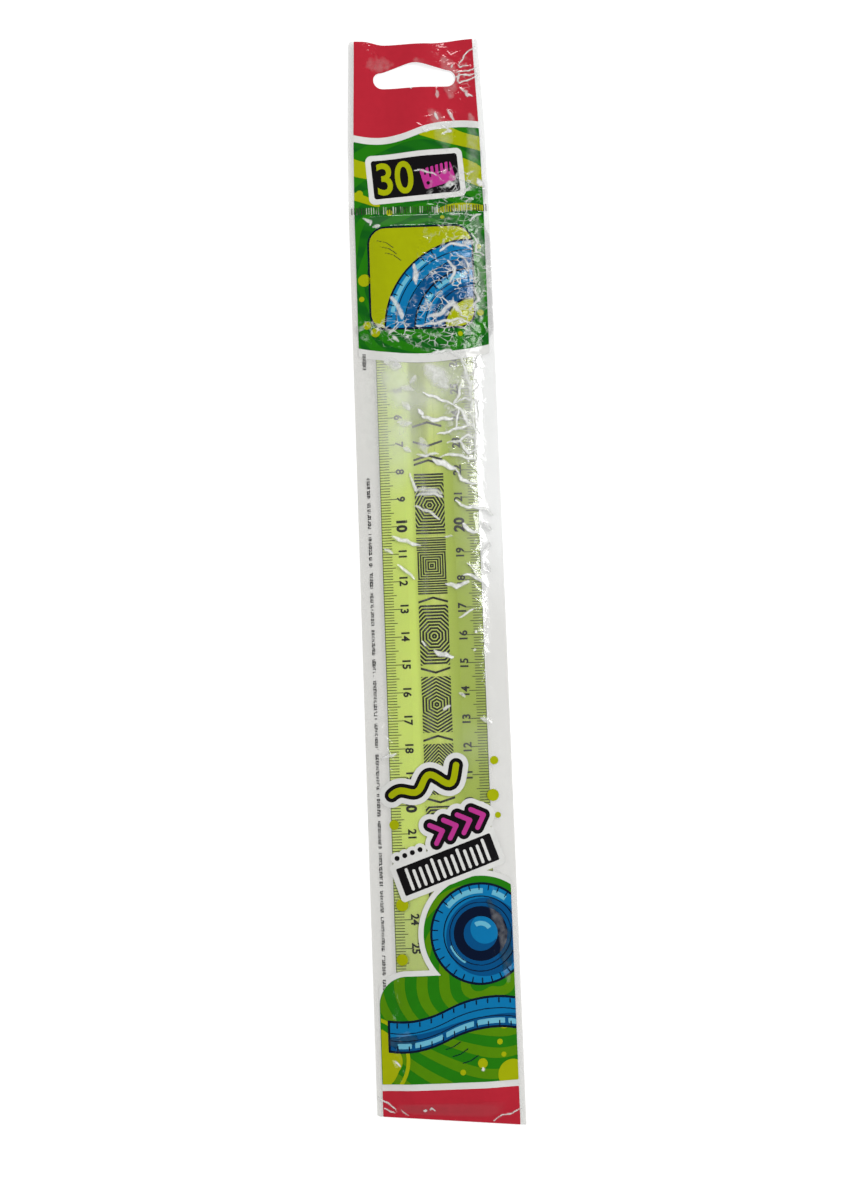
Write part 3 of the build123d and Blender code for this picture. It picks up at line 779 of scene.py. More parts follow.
def cut_flat(flat, lines_x=(), lines_y=(), keep_x=None, keep_y=None):
    """Flat polygons cut along straight lines, or trimmed to a box."""
    points, faces = flat
    work = bmesh.new()
    made = [work.verts.new((px, py, 0)) for px, py in points]
    for face in faces:
        if len(set(face)) > 2:
            try:
                work.faces.new([made[v] for v in face])
            except ValueError:
                continue
    bmesh.ops.remove_doubles(work, verts=work.verts, dist=1e-4)
    bmesh.ops.dissolve_degenerate(work, edges=work.edges, dist=1e-4)
    cuts = [(0, line, 1, False) for line in lines_x] + [(1, line, 1, False) for line in lines_y]
    for axis, kept in enumerate((keep_x, keep_y)):
        cuts += [(axis, line, side, True) for side, line in zip((-1, 1), kept or ())]
    for axis, line, side, trim in cuts:
        place, normal = Vector(), Vector()
        place[axis], normal[axis] = line, side
        everything = work.verts[:] + work.edges[:] + work.faces[:]
        bmesh.ops.bisect_plane(
            work, geom=everything, plane_co=place, plane_no=normal, clear_outer=trim
        )
    work.verts.index_update()
    points = np.array([v.co[:2] for v in work.verts])
    faces = [upward(points, [v.index for v in f.verts]) for f in work.faces]
    work.free()
    return points, faces


def join_flats(flats):
    """Several flat shapes as one."""
    points, faces, count = [], [], 0
    for some_points, some_faces in flats:
        points.append(some_points)
        faces += [[v + count for v in f] for f in some_faces]
        count += len(some_points)
    return np.concatenate(points), faces


def move_flat(flat, place, turn=0.0, size=(1.0, 1.0)):
    """A flat shape scaled, turned by degrees and moved."""
    points, faces = flat
    angle = math.radians(turn)
    scaled = points * np.array(size)
    x = scaled[:, 0] * math.cos(angle) - scaled[:, 1] * math.sin(angle) + place[0]
    y = scaled[:, 0] * math.sin(angle) + scaled[:, 1] * math.cos(angle) + place[1]
    if size[0] * size[1] < 0:
        faces = [face[::-1] for face in faces]
    return np.stack([x, y], 1), faces


# Height of a numeral as a share of the font's size
CAP_SHARE = 0.73


def text_flat(words, height, weight, smoothness=3):
    """Numerals of the given height, centred on the origin."""
    data = bpy.data.curves.new("numeral", "FONT")
    data.body = words
    data.align_x, data.align_y = "CENTER", "CENTER"
    data.size = height * MM / CAP_SHARE
    data.offset = weight * MM
    data.resolution_u = smoothness
    source = bpy.data.objects.new("numeral", data)
    bpy.context.scene.collection.objects.link(source)
    bpy.context.view_layer.update()
    points, faces = cut_flat(flat_from_object(source))
    bpy.data.curves.remove(data)
    low, high = points.min(0), points.max(0)
    return points - (low + high) / 2, faces


# Node trees


class Tree:
    """A node tree while it is put together."""

    def __init__(self, tree):
        self.tree = tree

    def add(self, kind, inputs=None, **settings):
        """Adds a node; an input is a value or another node's output."""
        made = self.tree.nodes.new(kind)
        for key, value in settings.items():
            setattr(made, key, value)
        for key, value in (inputs or {}).items():
            socket = made.inputs[key]
            if isinstance(value, bpy.types.NodeSocket):
                self.tree.links.new(value, socket)
            else:
                socket.default_value = value
        return made

    def get(self, kind, inputs=None, output=0, **settings):
        """Adds a node and gives one of its outputs."""
        return self.add(kind, inputs, **settings).outputs[output]

    def math(self, kind, first, second=0.5):
        """A sum on values."""
        return self.get("ShaderNodeMath", {0: first, 1: second}, operation=kind)

    def remap(self, value, low, high, start=0.0, end=1.0, **settings):
        """A value between two limits, brought to between two others."""
        limits = {"From Min": low, "From Max": high, "To Min": start, "To Max": end}
        return self.get("ShaderNodeMapRange", {"Value": value, **limits}, **settings)

    def mix(self, factor, first, second):
        """Two shaders mixed."""
        return self.get("ShaderNodeMixShader", {0: factor, 1: first, 2: second})


class Repeats(Tree):
    """A geometry tree, with the parts that the repeated shapes share."""

    def ends(self, span_across):
        """Two places on X, half of the span to each side."""
        half = self.math("MULTIPLY", span_across)
        back = self.math("MULTIPLY", half, -1.0)
        return [self.get("ShaderNodeCombineXYZ", {"X": x}) for x in (back, half)]

    def downward(self, count, pitch):
        """A row of points that runs down from the origin."""
        step = self.get("ShaderNodeCombineXYZ", {"Y": self.math("MULTIPLY", pitch, -1.0)})
        return self.get("GeometryNodeMeshLine", {"Count": count, "Offset": step}, mode="OFFSET")

    def oblong(self, wide, tall, rows=2):
        """A flat rectangle."""
        sizes = {"Size X": wide, "Size Y": tall, "Vertices X": 2, "Vertices Y": rows}
        return self.get("GeometryNodeMeshGrid", sizes)

    def uneven(self, seed, low, high):
        """A random size for each instance."""
        limits = {0: low, 1: high, "Seed": seed}
        return self.get("FunctionNodeRandomValue", limits, data_type="FLOAT_VECTOR")

    def repeat(self, points, shape, scale, **inputs):
        """The shape on every point."""
        whole = {"Points": points, "Instance": shape, "Scale": scale, **inputs}
        return self.get("GeometryNodeInstanceOnPoints", whole)


def run_tree(name, sizes, build, material):
    """Flat polygons from a geometry tree with named inputs, which are set by identifier.

    What the tree repeats is realized and given its material.
    """
    tree = bpy.data.node_groups.new(name, "GeometryNodeTree")
    tree.interface.new_socket("Geometry", in_out="OUTPUT", socket_type="NodeSocketGeometry")
    for label, value in sizes.items():
        kind = "NodeSocketInt" if isinstance(value, int) else "NodeSocketFloat"
        tree.interface.new_socket(label, in_out="INPUT", socket_type=kind)
    tree.interface.new_socket("Material", in_out="INPUT", socket_type="NodeSocketMaterial")
    work = Repeats(tree)
    given = work.add("NodeGroupInput")
    real = work.get(
        "GeometryNodeRealizeInstances", {"Geometry": build(work, given.outputs)}
    )
    painted = work.get(
        "GeometryNodeSetMaterial", {"Geometry": real, "Material": given.outputs["Material"]}
    )
    work.add("NodeGroupOutput", {"Geometry": painted})
    source = bpy.data.objects.new(name, bpy.data.meshes.new(name))
    modifier = source.modifiers.new(name, "NODES")
    modifier.node_group = tree
    sockets = {s.name: s.identifier for s in tree.interface.items_tree if s.in_out == "INPUT"}
    for label, value in {**sizes, "Material": material}.items():
        modifier[sockets[label]] = value
    bpy.context.scene.collection.objects.link(source)
    bpy.context.view_layer.update()
    flat = flat_from_object(source)
    bpy.data.node_groups.remove(tree)
    return flat


def rib_row(count, width, rib_width, rib_length, material):
    """A row of fine ribs across the pouch, each a little different."""

    def build(work, given):
        start, end = work.ends(given["Width"])
        row = work.get(
            "GeometryNodeMeshLine",
            {"Count": given["Count"], "Start Location": start, "Offset": end},
            mode="END_POINTS",
        )
        rib = work.oblong(given["Rib Width"], given["Rib Length"], 3)
        scale = work.uneven(given["Seed"], (0.6, 0.75, 1.0), (1.3, 1.0, 1.0))
        return work.repeat(row, rib, scale)

    sizes = {
        "Count": count, "Width": width * MM, "Rib Width": rib_width * MM,
        "Rib Length": rib_length * MM, "Seed": 3,
    }
    return run_tree("Crimp ribs", sizes, build, material)


DASH_PITCH = 0.56


def dash_column(count, height, longest, share_kept, seed):
    """A column of small dashes of uneven length, with gaps."""

    def build(work, given):
        column = work.downward(given["Count"], given["Pitch"])
        dash = work.oblong(given["Dash Height"], given["Longest"])
        kept = work.get(
            "FunctionNodeRandomValue",
            {"Probability": given["Kept Share"], "Seed": given["Seed"]}, 3,
            data_type="BOOLEAN",
        )
        scale = work.uneven(given["Seed"], (0.6, 0.5, 1.0), (1.0, 1.0, 1.0))
        return work.repeat(column, dash, scale, Selection=kept)

    sizes = {
        "Count": count, "Pitch": DASH_PITCH * MM, "Dash Height": height * MM,
        "Longest": longest * MM, "Kept Share": share_kept, "Seed": seed,
    }
    return run_tree("Dash column", sizes, build, ink("black"))


def tick_row(reach, width, material):
    """A row of 301 graduations, longer at each fifth and tenth, starting at x = 0."""

    def build(work, given):
        row = work.downward(given["Count"], given["Pitch"])
        tick = work.get(
            "GeometryNodeTransform",
            {"Geometry": work.oblong(1.0, given["Width"]), "Translation": (0.5, 0.0, 0.0)},
        )
        index = work.get("GeometryNodeInputIndex")
        long = given["Short"]
        for every, longer in ((5, "Middle"), (10, "Long")):
            at_mark = work.math("LESS_THAN", work.math("MODULO", index, every))
            choice = {"Switch": at_mark, "False": long, "True": given[longer]}
            long = work.get("GeometryNodeSwitch", choice, input_type="FLOAT")
        scale = work.get("ShaderNodeCombineXYZ", {"X": long, "Y": 1.0, "Z": 1.0})
        return work.repeat(row, tick, scale)

    sizes = {
        "Count": 301, "Pitch": 1.0 * MM, "Short": reach[0] * MM, "Middle": reach[1] * MM,
        "Long": reach[2] * MM, "Width": width * MM,
    }
    return run_tree("Scale ticks", sizes, build, material)


def nested_rings(sides, rings, pitch, line, material):
    """Rings of straight or round sides inside each other, in lines of one width."""

    def build(work, given):
        seeds = work.get("GeometryNodeMeshLine", {"Count": given["Rings"]})
        outline = work.get(
            "GeometryNodeCurvePrimitiveCircle",
            {"Resolution": given["Sides"], "Radius": 1.0}, mode="RADIUS",
        )
        number = work.math("ADD", work.get("GeometryNodeInputIndex"))
        placed = work.repeat(seeds, outline, work.math("MULTIPLY", number, given["Pitch"]))
        real = work.get("GeometryNodeRealizeInstances", {"Geometry": placed})
        start, end = work.ends(given["Line"])
        pen = work.get("GeometryNodeCurvePrimitiveLine", {"Start": start, "End": end})
        return work.get("GeometryNodeCurveToMesh", {"Curve": real, "Profile Curve": pen})

    sizes = {"Sides": sides, "Rings": rings, "Pitch": pitch * MM, "Line": line * MM}
    return run_tree("Nested rings", sizes, build, material)


# Materials


class Shader(Tree):
    """A material's tree, with its pattern in millimetres of the object's own space."""

    def __init__(self, name):
        self.material = bpy.data.materials.new(name)
        self.material.use_nodes = True
        super().__init__(self.material.node_tree)
        self.tree.nodes.clear()

    def place(self, scale=(1.0, 1.0, 1.0), turn=0.0):
        """Object coordinates in millimetres, stretched and turned."""
        where = self.get("ShaderNodeTexCoord", output="Object")
        sizes = {"Scale": tuple(s / MM for s in scale), "Rotation": (0.0, 0.0, turn)}
        return self.get("ShaderNodeMapping", {"Vector": where, **sizes})

    def mark(self, name):
        """A value that the mesh carries."""
        return self.get("ShaderNodeAttribute", output="Fac", attribute_name=name)

    def noise(self, scale, detail=2.0, where=None, output="Fac"):
        """A noise value."""
        inputs = {"Vector": where or self.place(), "Scale": scale, "Detail": detail}
        return self.get("ShaderNodeTexNoise", inputs, output)

    def ramp(self, value, stops):
        """Colours between given stops of a value."""
        made = self.add("ShaderNodeValToRGB", {"Fac": value})
        for element, (place, tone) in zip(made.color_ramp.elements, stops):
            element.position, element.color = place, tone
        return made.outputs["Color"]

    def blend(self, factor, first, second):
        """Two colours mixed."""
        return self.get("ShaderNodeMix", {0: factor, 6: first, 7: second}, 2, data_type="RGBA")

    def bump(self, height, strength, distance, **inputs):
        """A surface normal from a height."""
        sizes = {"Height": height, "Strength": strength, "Distance": distance * MM}
        return self.get("ShaderNodeBump", {**sizes, **inputs})

    def clear(self, tone=WHITE):
        """Light that passes."""
        return self.get("ShaderNodeBsdfTransparent", {"Color": tone})

    def solid(self, tone, roughness, inputs):
        """A body that light doesn't pass."""
        whole = {"Base Color": tone, "Roughness": roughness, **inputs}
        return self.get("ShaderNodeBsdfPrincipled", whole)

    def output(self, surface):
        """Ends the tree."""
        self.add("ShaderNodeOutputMaterial", {"Surface": surface})
        return self.material


DENT_STRENGTH = 0.25


def film_dents(shader):
    """The film's normal: soft dents all over, and a net of fine folds where it is slack."""
    fine = shader.math("MULTIPLY", shader.noise(0.9), 0.18)
    dents = shader.math("ADD", shader.noise(0.22, 1.0), fine)
    dents = shader.bump(dents, DENT_STRENGTH, 0.5)
    return shader.bump(fold_net(shader, 0.15, 0.1), 1.0, 0.42, Normal=dents)


def fold_net(shader, scale, width, lit_facets=0.0):
    """A net of fine folds, from 0 to 1, that only shows where the film is slack.

    Some of the facets between the folds can carry a painted highlight too.
    """
    where = shader.place((1.0, 1.3, 1.0))
    drift = shader.get(
        "ShaderNodeVectorMath",
        {0: shader.noise(0.12, 1.0, where, "Color"), 1: (6.0, 6.0, 0.0)}, operation="MULTIPLY",
    )
    bent = shader.get("ShaderNodeVectorMath", {0: where, 1: drift})
    cells = {"Vector": bent, "Scale": scale}
    edge = shader.get("ShaderNodeTexVoronoi", cells, "Distance", feature="DISTANCE_TO_EDGE")
    ridge = shader.remap(edge, 0.0, width, 1.0, 0.0, interpolation_type="SMOOTHSTEP")
    if lit_facets:
        cell = shader.get("ShaderNodeTexVoronoi", cells, "Color")
        chance = shader.get("ShaderNodeSeparateColor", {"Color": cell})
        lit = shader.remap(chance, 0.62, 0.9, 0.0, lit_facets)
        slope = shader.remap(shader.noise(0.7, 2.0, bent), 0.38, 0.6)
        ridge = shader.math("MULTIPLY", ridge, 0.75)
        ridge = shader.math("MAXIMUM", ridge, shader.math("MULTIPLY", lit, slope))
    return shader.math("MULTIPLY", ridge, shader.mark("slack"))


def painted_shine_material(film):
    """Painted highlight on folded film: white where a fold shines, lit the same everywhere, and
    clear beside it.
    """
    shader = Shader("Painted shine on folds")
    # Painted highlight along the folds, and on a broken net of folds and lit facets where the
    # film is slack
    uneven = shader.remap(shader.noise(0.5), 0.3, 0.7, 0.5, 1.15)
    broken = shader.remap(shader.noise(0.25), 0.42, 0.62, 0.0, 1.6)
    net = shader.math("MULTIPLY", fold_net(shader, 0.36, 0.085, 0.9), broken)
    folds = shader.math("MULTIPLY", shader.mark("glare"), uneven)
    cover = shader.remap(shader.math("MAXIMUM", folds, net), 0.03, 1.0, 0.0, 0.86)
    # The white faces straight up, so that the painted highlight is lit the same everywhere
    up = shader.get("ShaderNodeCombineXYZ", {"Z": 1.0})
    white = shader.get("ShaderNodeBsdfDiffuse", {"Color": tuple(film.shine), "Normal": up})
    return shader.output(shader.mix(cover, shader.clear(), white))


def film_material(name, film, webbed):
    """Clear gloss film: light passes, the surface catches glints, and a little milky haze
    carries painted glare; the back film lets less light through at its margins, as painted
    shade.
    """
    shader = Shader(name)
    through = tuple(film.tint)
    cloud = shader.remap(shader.noise(0.08, 3.0), 0.3, 0.7, 0.6, 1.4)
    haze_and_glare = shader.math("MULTIPLY", shader.mark("haze_and_glare"), cloud)
    if webbed:
        normal = film_dents(shader)
        # Painted glare, partly milky haze: white patches where the film is slack
        slack_haze_and_glare = shader.noise(0.2, 2.0, shader.place((1.0, 1.5, 1.0)))
        slack_haze_and_glare = shader.math(
            "MULTIPLY", shader.remap(slack_haze_and_glare, 0.53, 0.66, 0.0, 0.26), shader.mark("slack")
        )
        haze_and_glare = shader.math("ADD", haze_and_glare, slack_haze_and_glare)
    else:
        normal = shader.bump(shader.noise(0.22), DENT_STRENGTH, 0.5)
        # Painted shade: the back film lets less light through at its margins
        through = shader.blend(shader.mark("shade"), through, tuple(film.margin))
    haze_and_glare_shader = shader.get("ShaderNodeBsdfDiffuse", {"Color": tuple(film.haze_and_glare), "Normal": normal})
    body = shader.mix(haze_and_glare, shader.clear(through), haze_and_glare_shader)
    gloss = shader.get(
        "ShaderNodeBsdfGlossy",
        {"Color": WHITE, "Roughness": film.roughness, "Normal": normal},
    )
    facing = shader.get("ShaderNodeLayerWeight", {"Blend": 0.5, "Normal": normal}, "Facing")
    grazing = shader.math("MULTIPLY", shader.math("POWER", facing, 5.0), 0.7)
    return shader.output(shader.mix(shader.math("ADD", grazing, 0.042), body, gloss))


def ink_material(name, tone, streaked=None):
    """Gloss ink under film: slight mottling, a clear coat and the film's fine dents."""
    shader = Shader(name)
    base = tuple(tone)
    mottled = shader.blend(shader.noise(0.35, 3.0), toned(base, 0.86), base)
    if streaked is not None:
        mottled = shader.blend(streaks(shader), mottled, tuple(streaked))
    coat = {
        "Specular IOR Level": 0.0, "Coat Weight": 1.0, "Coat Roughness": 0.06,
        "Coat IOR": 1.5, "Coat Normal": film_dents(shader),
    }
    return shader.output(shader.solid(mottled, 0.5, coat))


def streaks(shader):
    """Curved brush-like streaks across a panel."""
    bands = shader.get(
        "ShaderNodeTexWave",
        {"Vector": shader.place(turn=math.radians(24)), "Scale": 0.045, "Distortion": 7.0,
         "Detail": 2.0, "Detail Scale": 0.8},
        "Fac", wave_type="BANDS", bands_direction="Y",
    )
    return shader.ramp(bands, [(0.3, grey(0.0)), (0.8, grey(0.35))])


def plastic_material(ruler):
    """Translucent lime plastic with a cloudy tone and fine scratches, and painted light: the
    right side and the foot shaded, a shaded lengthwise stripe, light glare lines along the
    middle and shaded cut edges.
    """
    shader = Shader("Translucent ruler plastic")
    place = shader.add("ShaderNodeSeparateXYZ", {"Vector": shader.place()}).outputs
    x, y = place["X"], place["Y"]

    def beside(line):
        """Distance from a line along the ruler."""
        return shader.math("ABSOLUTE", shader.math("ADD", x, -line))

    # Painted shade: a stripe left of the middle, strongest towards the head
    shade_stripe = shader.remap(beside(-3.0), 2.4, 3.8, 1.0, 0.0)
    upper = shader.remap(y, 38.0, 52.0, 0.28, 0.95)
    # Painted highlight: lighter lengthwise lines of glare near the middle
    middle = shader.remap(beside(1.5), 2.0, 4.2, 0.3, 0.0)
    lines = shader.noise(1.1, 1.0, shader.place((1.0, 0.01, 1.0)))
    cloud = shader.noise(0.05, 3.0, shader.place((1.0, 0.3, 1.0)))
    body = tuple(ruler.plastic)
    tone = shader.blend(cloud, body, toned(body, 1.14))
    # Painted light, in order: shade on the right side, shade towards the foot, the shaded
    # stripe, the glare lines and shade along the cut edges
    for part, over in (
        (shader.remap(x, -4.0, 9.0), tuple(ruler.shaded)),
        (shader.remap(y, -96.0, -138.0, 0.0, 0.55), tuple(ruler.foot_shade)),
        (shader.math("MULTIPLY", shade_stripe, upper), tuple(ruler.shade_stripe)),
        (shader.math("MULTIPLY", lines, middle), toned(body, 1.5, 0.08)),
        (shader.remap(beside(0.0), RULER_HALF - 0.45, RULER_HALF - 0.1), tuple(ruler.edge)),
    ):
        tone = shader.blend(part, tone, over)
    scratches = shader.noise(1.4, 2.0, shader.place((1.0, 0.04, 1.0)))
    depth = {
        "Subsurface Weight": 0.25, "Subsurface Scale": 0.002,
        "Subsurface Radius": (0.8, 1.0, 0.3), "Coat Weight": 0.4, "Coat Roughness": 0.15,
        "Normal": shader.bump(scratches, 0.12, 0.1),
    }
    return shader.output(shader.solid(tone, 0.32, depth))


def scale_ink_material(ruler):
    """Printed ink of the ruler, a little uneven."""
    shader = Shader("Ruler ink")
    base = tuple(ruler.ink)
    tone = shader.blend(shader.noise(1.6), base, toned(base, 1.5))
    return shader.output(shader.solid(tone, 0.45, {}))


def weld_material(film):
    """Pressed film of the weld, more milky than the rest, with painted shade in its ribs and
    painted highlights between them.
    """
    shader = Shader("Pressed film")
    shine = shader.noise(0.5, 1.0, shader.place((1.0, 0.12, 1.0)))
    # Painted shade in the ribs and a painted highlight between them, in streaks along the ribs
    tone = shader.ramp(shine, [(0.5, tuple(film.crimp)), (0.62, srgb(206, 212, 196))])
    pressed = shader.solid(
        tone, 0.2,
        {"Coat Weight": 1.0, "Coat Roughness": 0.08,
         "Normal": shader.bump(shader.noise(1.5), 0.3, 0.2)},
    )
    part = shader.ramp(shader.noise(0.5), [(0.3, grey(0.45)), (0.6, grey(0.9))])
    return shader.output(shader.mix(part, shader.clear(tuple(film.tint)), pressed))


def floor_material():
    """A pale floor that the camera sees as white and that keeps the shadow."""
    shader = Shader("Pale floor")
    matt, pale = [shader.get("ShaderNodeBsdfDiffuse", {"Color": grey(v)}) for v in (0.8, 0.5)]
    glow, white = [
        shader.get("ShaderNodeEmission", {"Color": WHITE, "Strength": s}) for s in (0.64, 1.0)
    ]
    near = shader.get("ShaderNodeAddShader", {0: pale, 1: glow})
    where = shader.get("ShaderNodeTexCoord", output="Object")
    away = shader.get("ShaderNodeVectorMath", {0: where}, "Value", operation="LENGTH")
    lit = shader.mix(shader.remap(away, 0.35, 0.8), near, white)
    path = shader.add("ShaderNodeLightPath").outputs
    seen = shader.math("MAXIMUM", path["Is Camera Ray"], path["Is Glossy Ray"])
    seen = shader.math("MAXIMUM", seen, path["Is Transmission Ray"])
    return shader.output(shader.mix(seen, matt, lit))


SHARED = {}


def ink(name):
    """One of the shared print materials, made when first asked for."""
    if name not in SHARED:
        looks = bpy.context.scene.ruler_looks
        inks = looks.inks
        makers = {
            "film": lambda: film_material("Clear gloss film", looks.film, True),
            "back film": lambda: film_material("Clear back film", looks.film, False),
            "weld": lambda: weld_material(looks.film),
            "shine": lambda: painted_shine_material(looks.film),
            "plastic": lambda: plastic_material(looks.ruler),
            "scale": lambda: scale_ink_material(looks.ruler),
            "green": lambda: ink_material("Green ink", inks.green, inks.leaf),
        }
        plain = makers.get(name, lambda: ink_material(f"{name} ink", getattr(inks, name)))
        SHARED[name] = plain()
    return SHARED[name]


def film_layer():
    """The layer that lies on the front web."""
    if "heights" not in SHARED:
        SHARED["heights"] = film_surface(bpy.context.scene.ruler_looks.film)
    heights = SHARED["heights"]
    return Layer(lambda x, y: read_surface(heights, x, y), "pouch", FILM_MARKS)


def ruler_layer():
    """The layer that lies on the ruler."""
    return Layer(ruler_top, "ruler")


def level(number):
    """Height of the upper side of a layer of ink above the film."""
    return FIRST_LIFT + LEVEL_LIFT * number


def print_pieces(low, high, pieces):
    """Prints on the front web inside a box.

    Each piece has its name, field, ink, slot, level and the nodes that it replaces.
    """
    for name, field, tone, slot, number, *replaced in pieces:
        film_layer().lay(
            name, region(field, low, high), ink(tone), slot, level(number), replaced=replaced
        )


def between(top, foot):
    """The field of a printed strip between two curves."""
    return lambda x, y: both(printed_area(x, y), top(x) - y, y - foot(x))


FLOOR_HALF = 2500.0
FLOOR_Z = -0.3
AIM = (-0.28, -9.35, 0.0)


class BuildStage(bpy.types.Operator):
    """Floor, soft lights, white surroundings and the camera"""

    bl_idname = "flexible_ruler.stage"
    bl_label = "Stage"

    def execute(self, context):
        looks = context.scene.ruler_looks.stage
        scene = context.scene
        scene.view_settings.view_transform = "Standard"
        corners = ((-1, -1), (1, -1), (1, 1), (-1, 1))
        points = np.array([(FLOOR_HALF * a, FLOOR_HALF * b, FLOOR_Z) for a, b in corners])
        make_object("floor", points, [[0, 1, 2, 3]], floor_material())
        data = bpy.data.cameras.new("camera")
        data.lens = looks.lens
        data.clip_start, data.clip_end = 0.01, 20.0
        camera = bpy.data.objects.new("camera", data)
        turn = Euler(looks.tilt, "XYZ").to_matrix()
        aim = Vector(AIM) * MM
        camera.matrix_world = (
            Matrix.Translation(aim + turn @ Vector((0, 0, looks.distance))) @ turn.to_4x4()
        )
        scene.collection.objects.link(camera)
        scene.camera = camera
        lamps = (
            ("soft light", (0.72, 0.3, 0.82), (0.5, 0.5), looks.soft_power),
            ("glint light right", (0.6, -0.2, 0.62), (0.12, 0.3), looks.glint_power),
            ("glint light head", (0.12, 0.68, 0.7), (0.3, 0.12), looks.glint_power),
            ("fill light", (-0.85, -0.2, 0.75), (0.6, 0.6), looks.fill_power),
        )
        for name, place, size, power in lamps:
            light = bpy.data.lights.new(name, "AREA")
            light.shape = "RECTANGLE"
            light.size, light.size_y = size
            light.energy = power
            lamp = bpy.data.objects.new(name, light)
            lamp.location = place
            lamp.rotation_euler = (-Vector(place)).to_track_quat("-Z", "Y").to_euler()
            scene.collection.objects.link(lamp)
        world = bpy.data.worlds.new("White surroundings")
        world.use_nodes = True
        world.node_tree.nodes.clear()
        work = Tree(world.node_tree)
        path = work.get("ShaderNodeLightPath", output="Is Camera Ray")
        seen = work.get("ShaderNodeBackground", {"Color": WHITE, "Strength": 1.0})
        way = work.get("ShaderNodeTexCoord", output="Generated")
        height = work.get("ShaderNodeSeparateXYZ", {"Vector": way}, "Z")
        strength = work.remap(height, 0.84, 0.62, looks.ceiling, looks.walls)
        sky = {"Color": (0.97, 0.98, 1, 1), "Strength": strength}
        soft = work.get("ShaderNodeBackground", sky)
        work.add("ShaderNodeOutputWorld", {"Surface": work.mix(path, soft, seen)})
        scene.world = world
        return {"FINISHED"}


class BuildFilm(bpy.types.Operator):
    """The two clear webs, a sheet of painted shine over their folds, and the crimped weld under
    the header
    """

    bl_idname = "flexible_ruler.film"
    bl_label = "Film"

    def execute(self, context):
        film = context.scene.ruler_looks.film
        front = film_layer()
        thickness = film.thickness / MM

        def under(x, y):
            resting = 1.2 * thickness
            above = front.surface(x, y) - 3.4 * thickness
            return np.maximum(resting, resting + looseness(y) * (above - resting))

        back = Layer(under, "pouch", (*FILM_MARKS, ("shade", margin_shade)))
        outline = region(web_outline, step=2)
        for layer, name, tone, node in (
            (front, "front_film", "film", "front_web"),
            (back, "back_film", "back film", "back_web"),
        ):
            layer.lay(name, outline, ink(tone), "clear_film", 0.0, thickness, (node,))
        # A sheet over the front web that carries the painted highlight along the folds
        over = Layer(front.surface, "pouch", (("glare", film_glare), ("slack", slackness)))

        def painted_shine_area(x, y):
            lit = either(film_glare(x, y) - FOLD_GLARE, slackness(x, y) - FOLD_SLACK)
            return both(web_outline(x, y), lit)

        over.lay("painted_fold_shine", region(painted_shine_area), ink("shine"), "clear_film", FOLD_LIFT)
        ribs = rib_row(
            film.rib_count, 2 * SEAM_X, film.rib_width / MM, WELD_TOP - WELD_FOOT, ink("weld")
        )
        front.lay(
            "weld_ribs", move_flat(ribs, (0, (WELD_TOP + WELD_FOOT) / 2)), ink("weld"),
            "weld_film", RIB_LIFT, RIB_DEPTH, ("header_weld",),
        )
        return {"FINISHED"}


# Curved edges of the printing
RED_WAVE = (2.4, (2.2, -2.2))
RED_DROP = 34.2
HEADER_BAND = 2.6
PANEL_DROP = 49.5
PANEL_SAG = 3.8
EDGE_BAND = 3.3


def red_line(x, drop=0.0):
    """Lower edge of the red field, or a line below it."""
    return wave(x, TOP_Y - RED_DROP - drop, *RED_WAVE)


def band_line(x):
    """Lower edge of the white band under the red field."""
    return red_line(x, HEADER_BAND)


def panel_line(x, drop=0.0):
    """Lower edge of the upper panel, or a line below it."""
    return wave(x, WELD_FOOT - PANEL_DROP - drop, 0.0, (PANEL_SAG,))


class BuildHeader(bpy.types.Operator):
    """Red field round the hang hole and the white band under it"""

    bl_idname = "flexible_ruler.header"
    bl_label = "Header print"

    def execute(self, context):
        def field(x, y):
            return both(printed_area(x, y), hang_hole(x, y), y - red_line(x))

        print_pieces((-HALF_WIDTH, RED_LOW[1] - 8), (HALF_WIDTH, TOP_Y), (
            ("red_field", field, "red", "red_ink", 0, "header_red_print"),
            ("header_band", between(red_line, band_line), "white", "white_ink", 0,
             "header_white_band"),
        ))
        return {"FINISHED"}


PANEL_DOTS = (
    (-21.0, 106.5, 2.3), (-22.2, 99.5, 1.0), (-20.5, 89.5, 1.5), (20.8, 148.0, 1.9),
    (-21.8, 139.5, 1.3), (21.2, 93.0, 1.2), (-17.5, 86.6, 1.7), (13.5, 85.0, 0.9),
    (-11.0, 132.0, 1.2), (8.5, 129.5, 0.8), (21.5, 118.0, 0.9),
)


def swirl(x, y):
    """Lime swirls that bend across the green ground over the weld."""
    bent = y + 0.22 * x + 3.6 * np.sin(x / 9.5 + y / 15.0) + 1.2 * np.sin(y / 4.0 - x / 11.0)
    width = -0.75 + 1.45 * smooth((y - 126) / 20) + 0.2 * np.sin(x / 13.0 + y / 21.0)
    return 2.2 * (np.sin(bent / 2.3) - 0.62 + width)


def streak(x, y):
    """Mid-green strokes that run round the square motif."""
    away = np.hypot(x, (y - 106.6) / 1.2)
    turn = np.arctan2(y - 106.6, x)
    bent = away + 1.3 * np.sin(3 * turn + y / 9.0) + 0.7 * np.sin(7 * turn + 1.0)
    return 0.9 * (np.sin(bent / 0.85) - 0.1 + 0.6 * np.sin(5 * turn + away / 4.0))


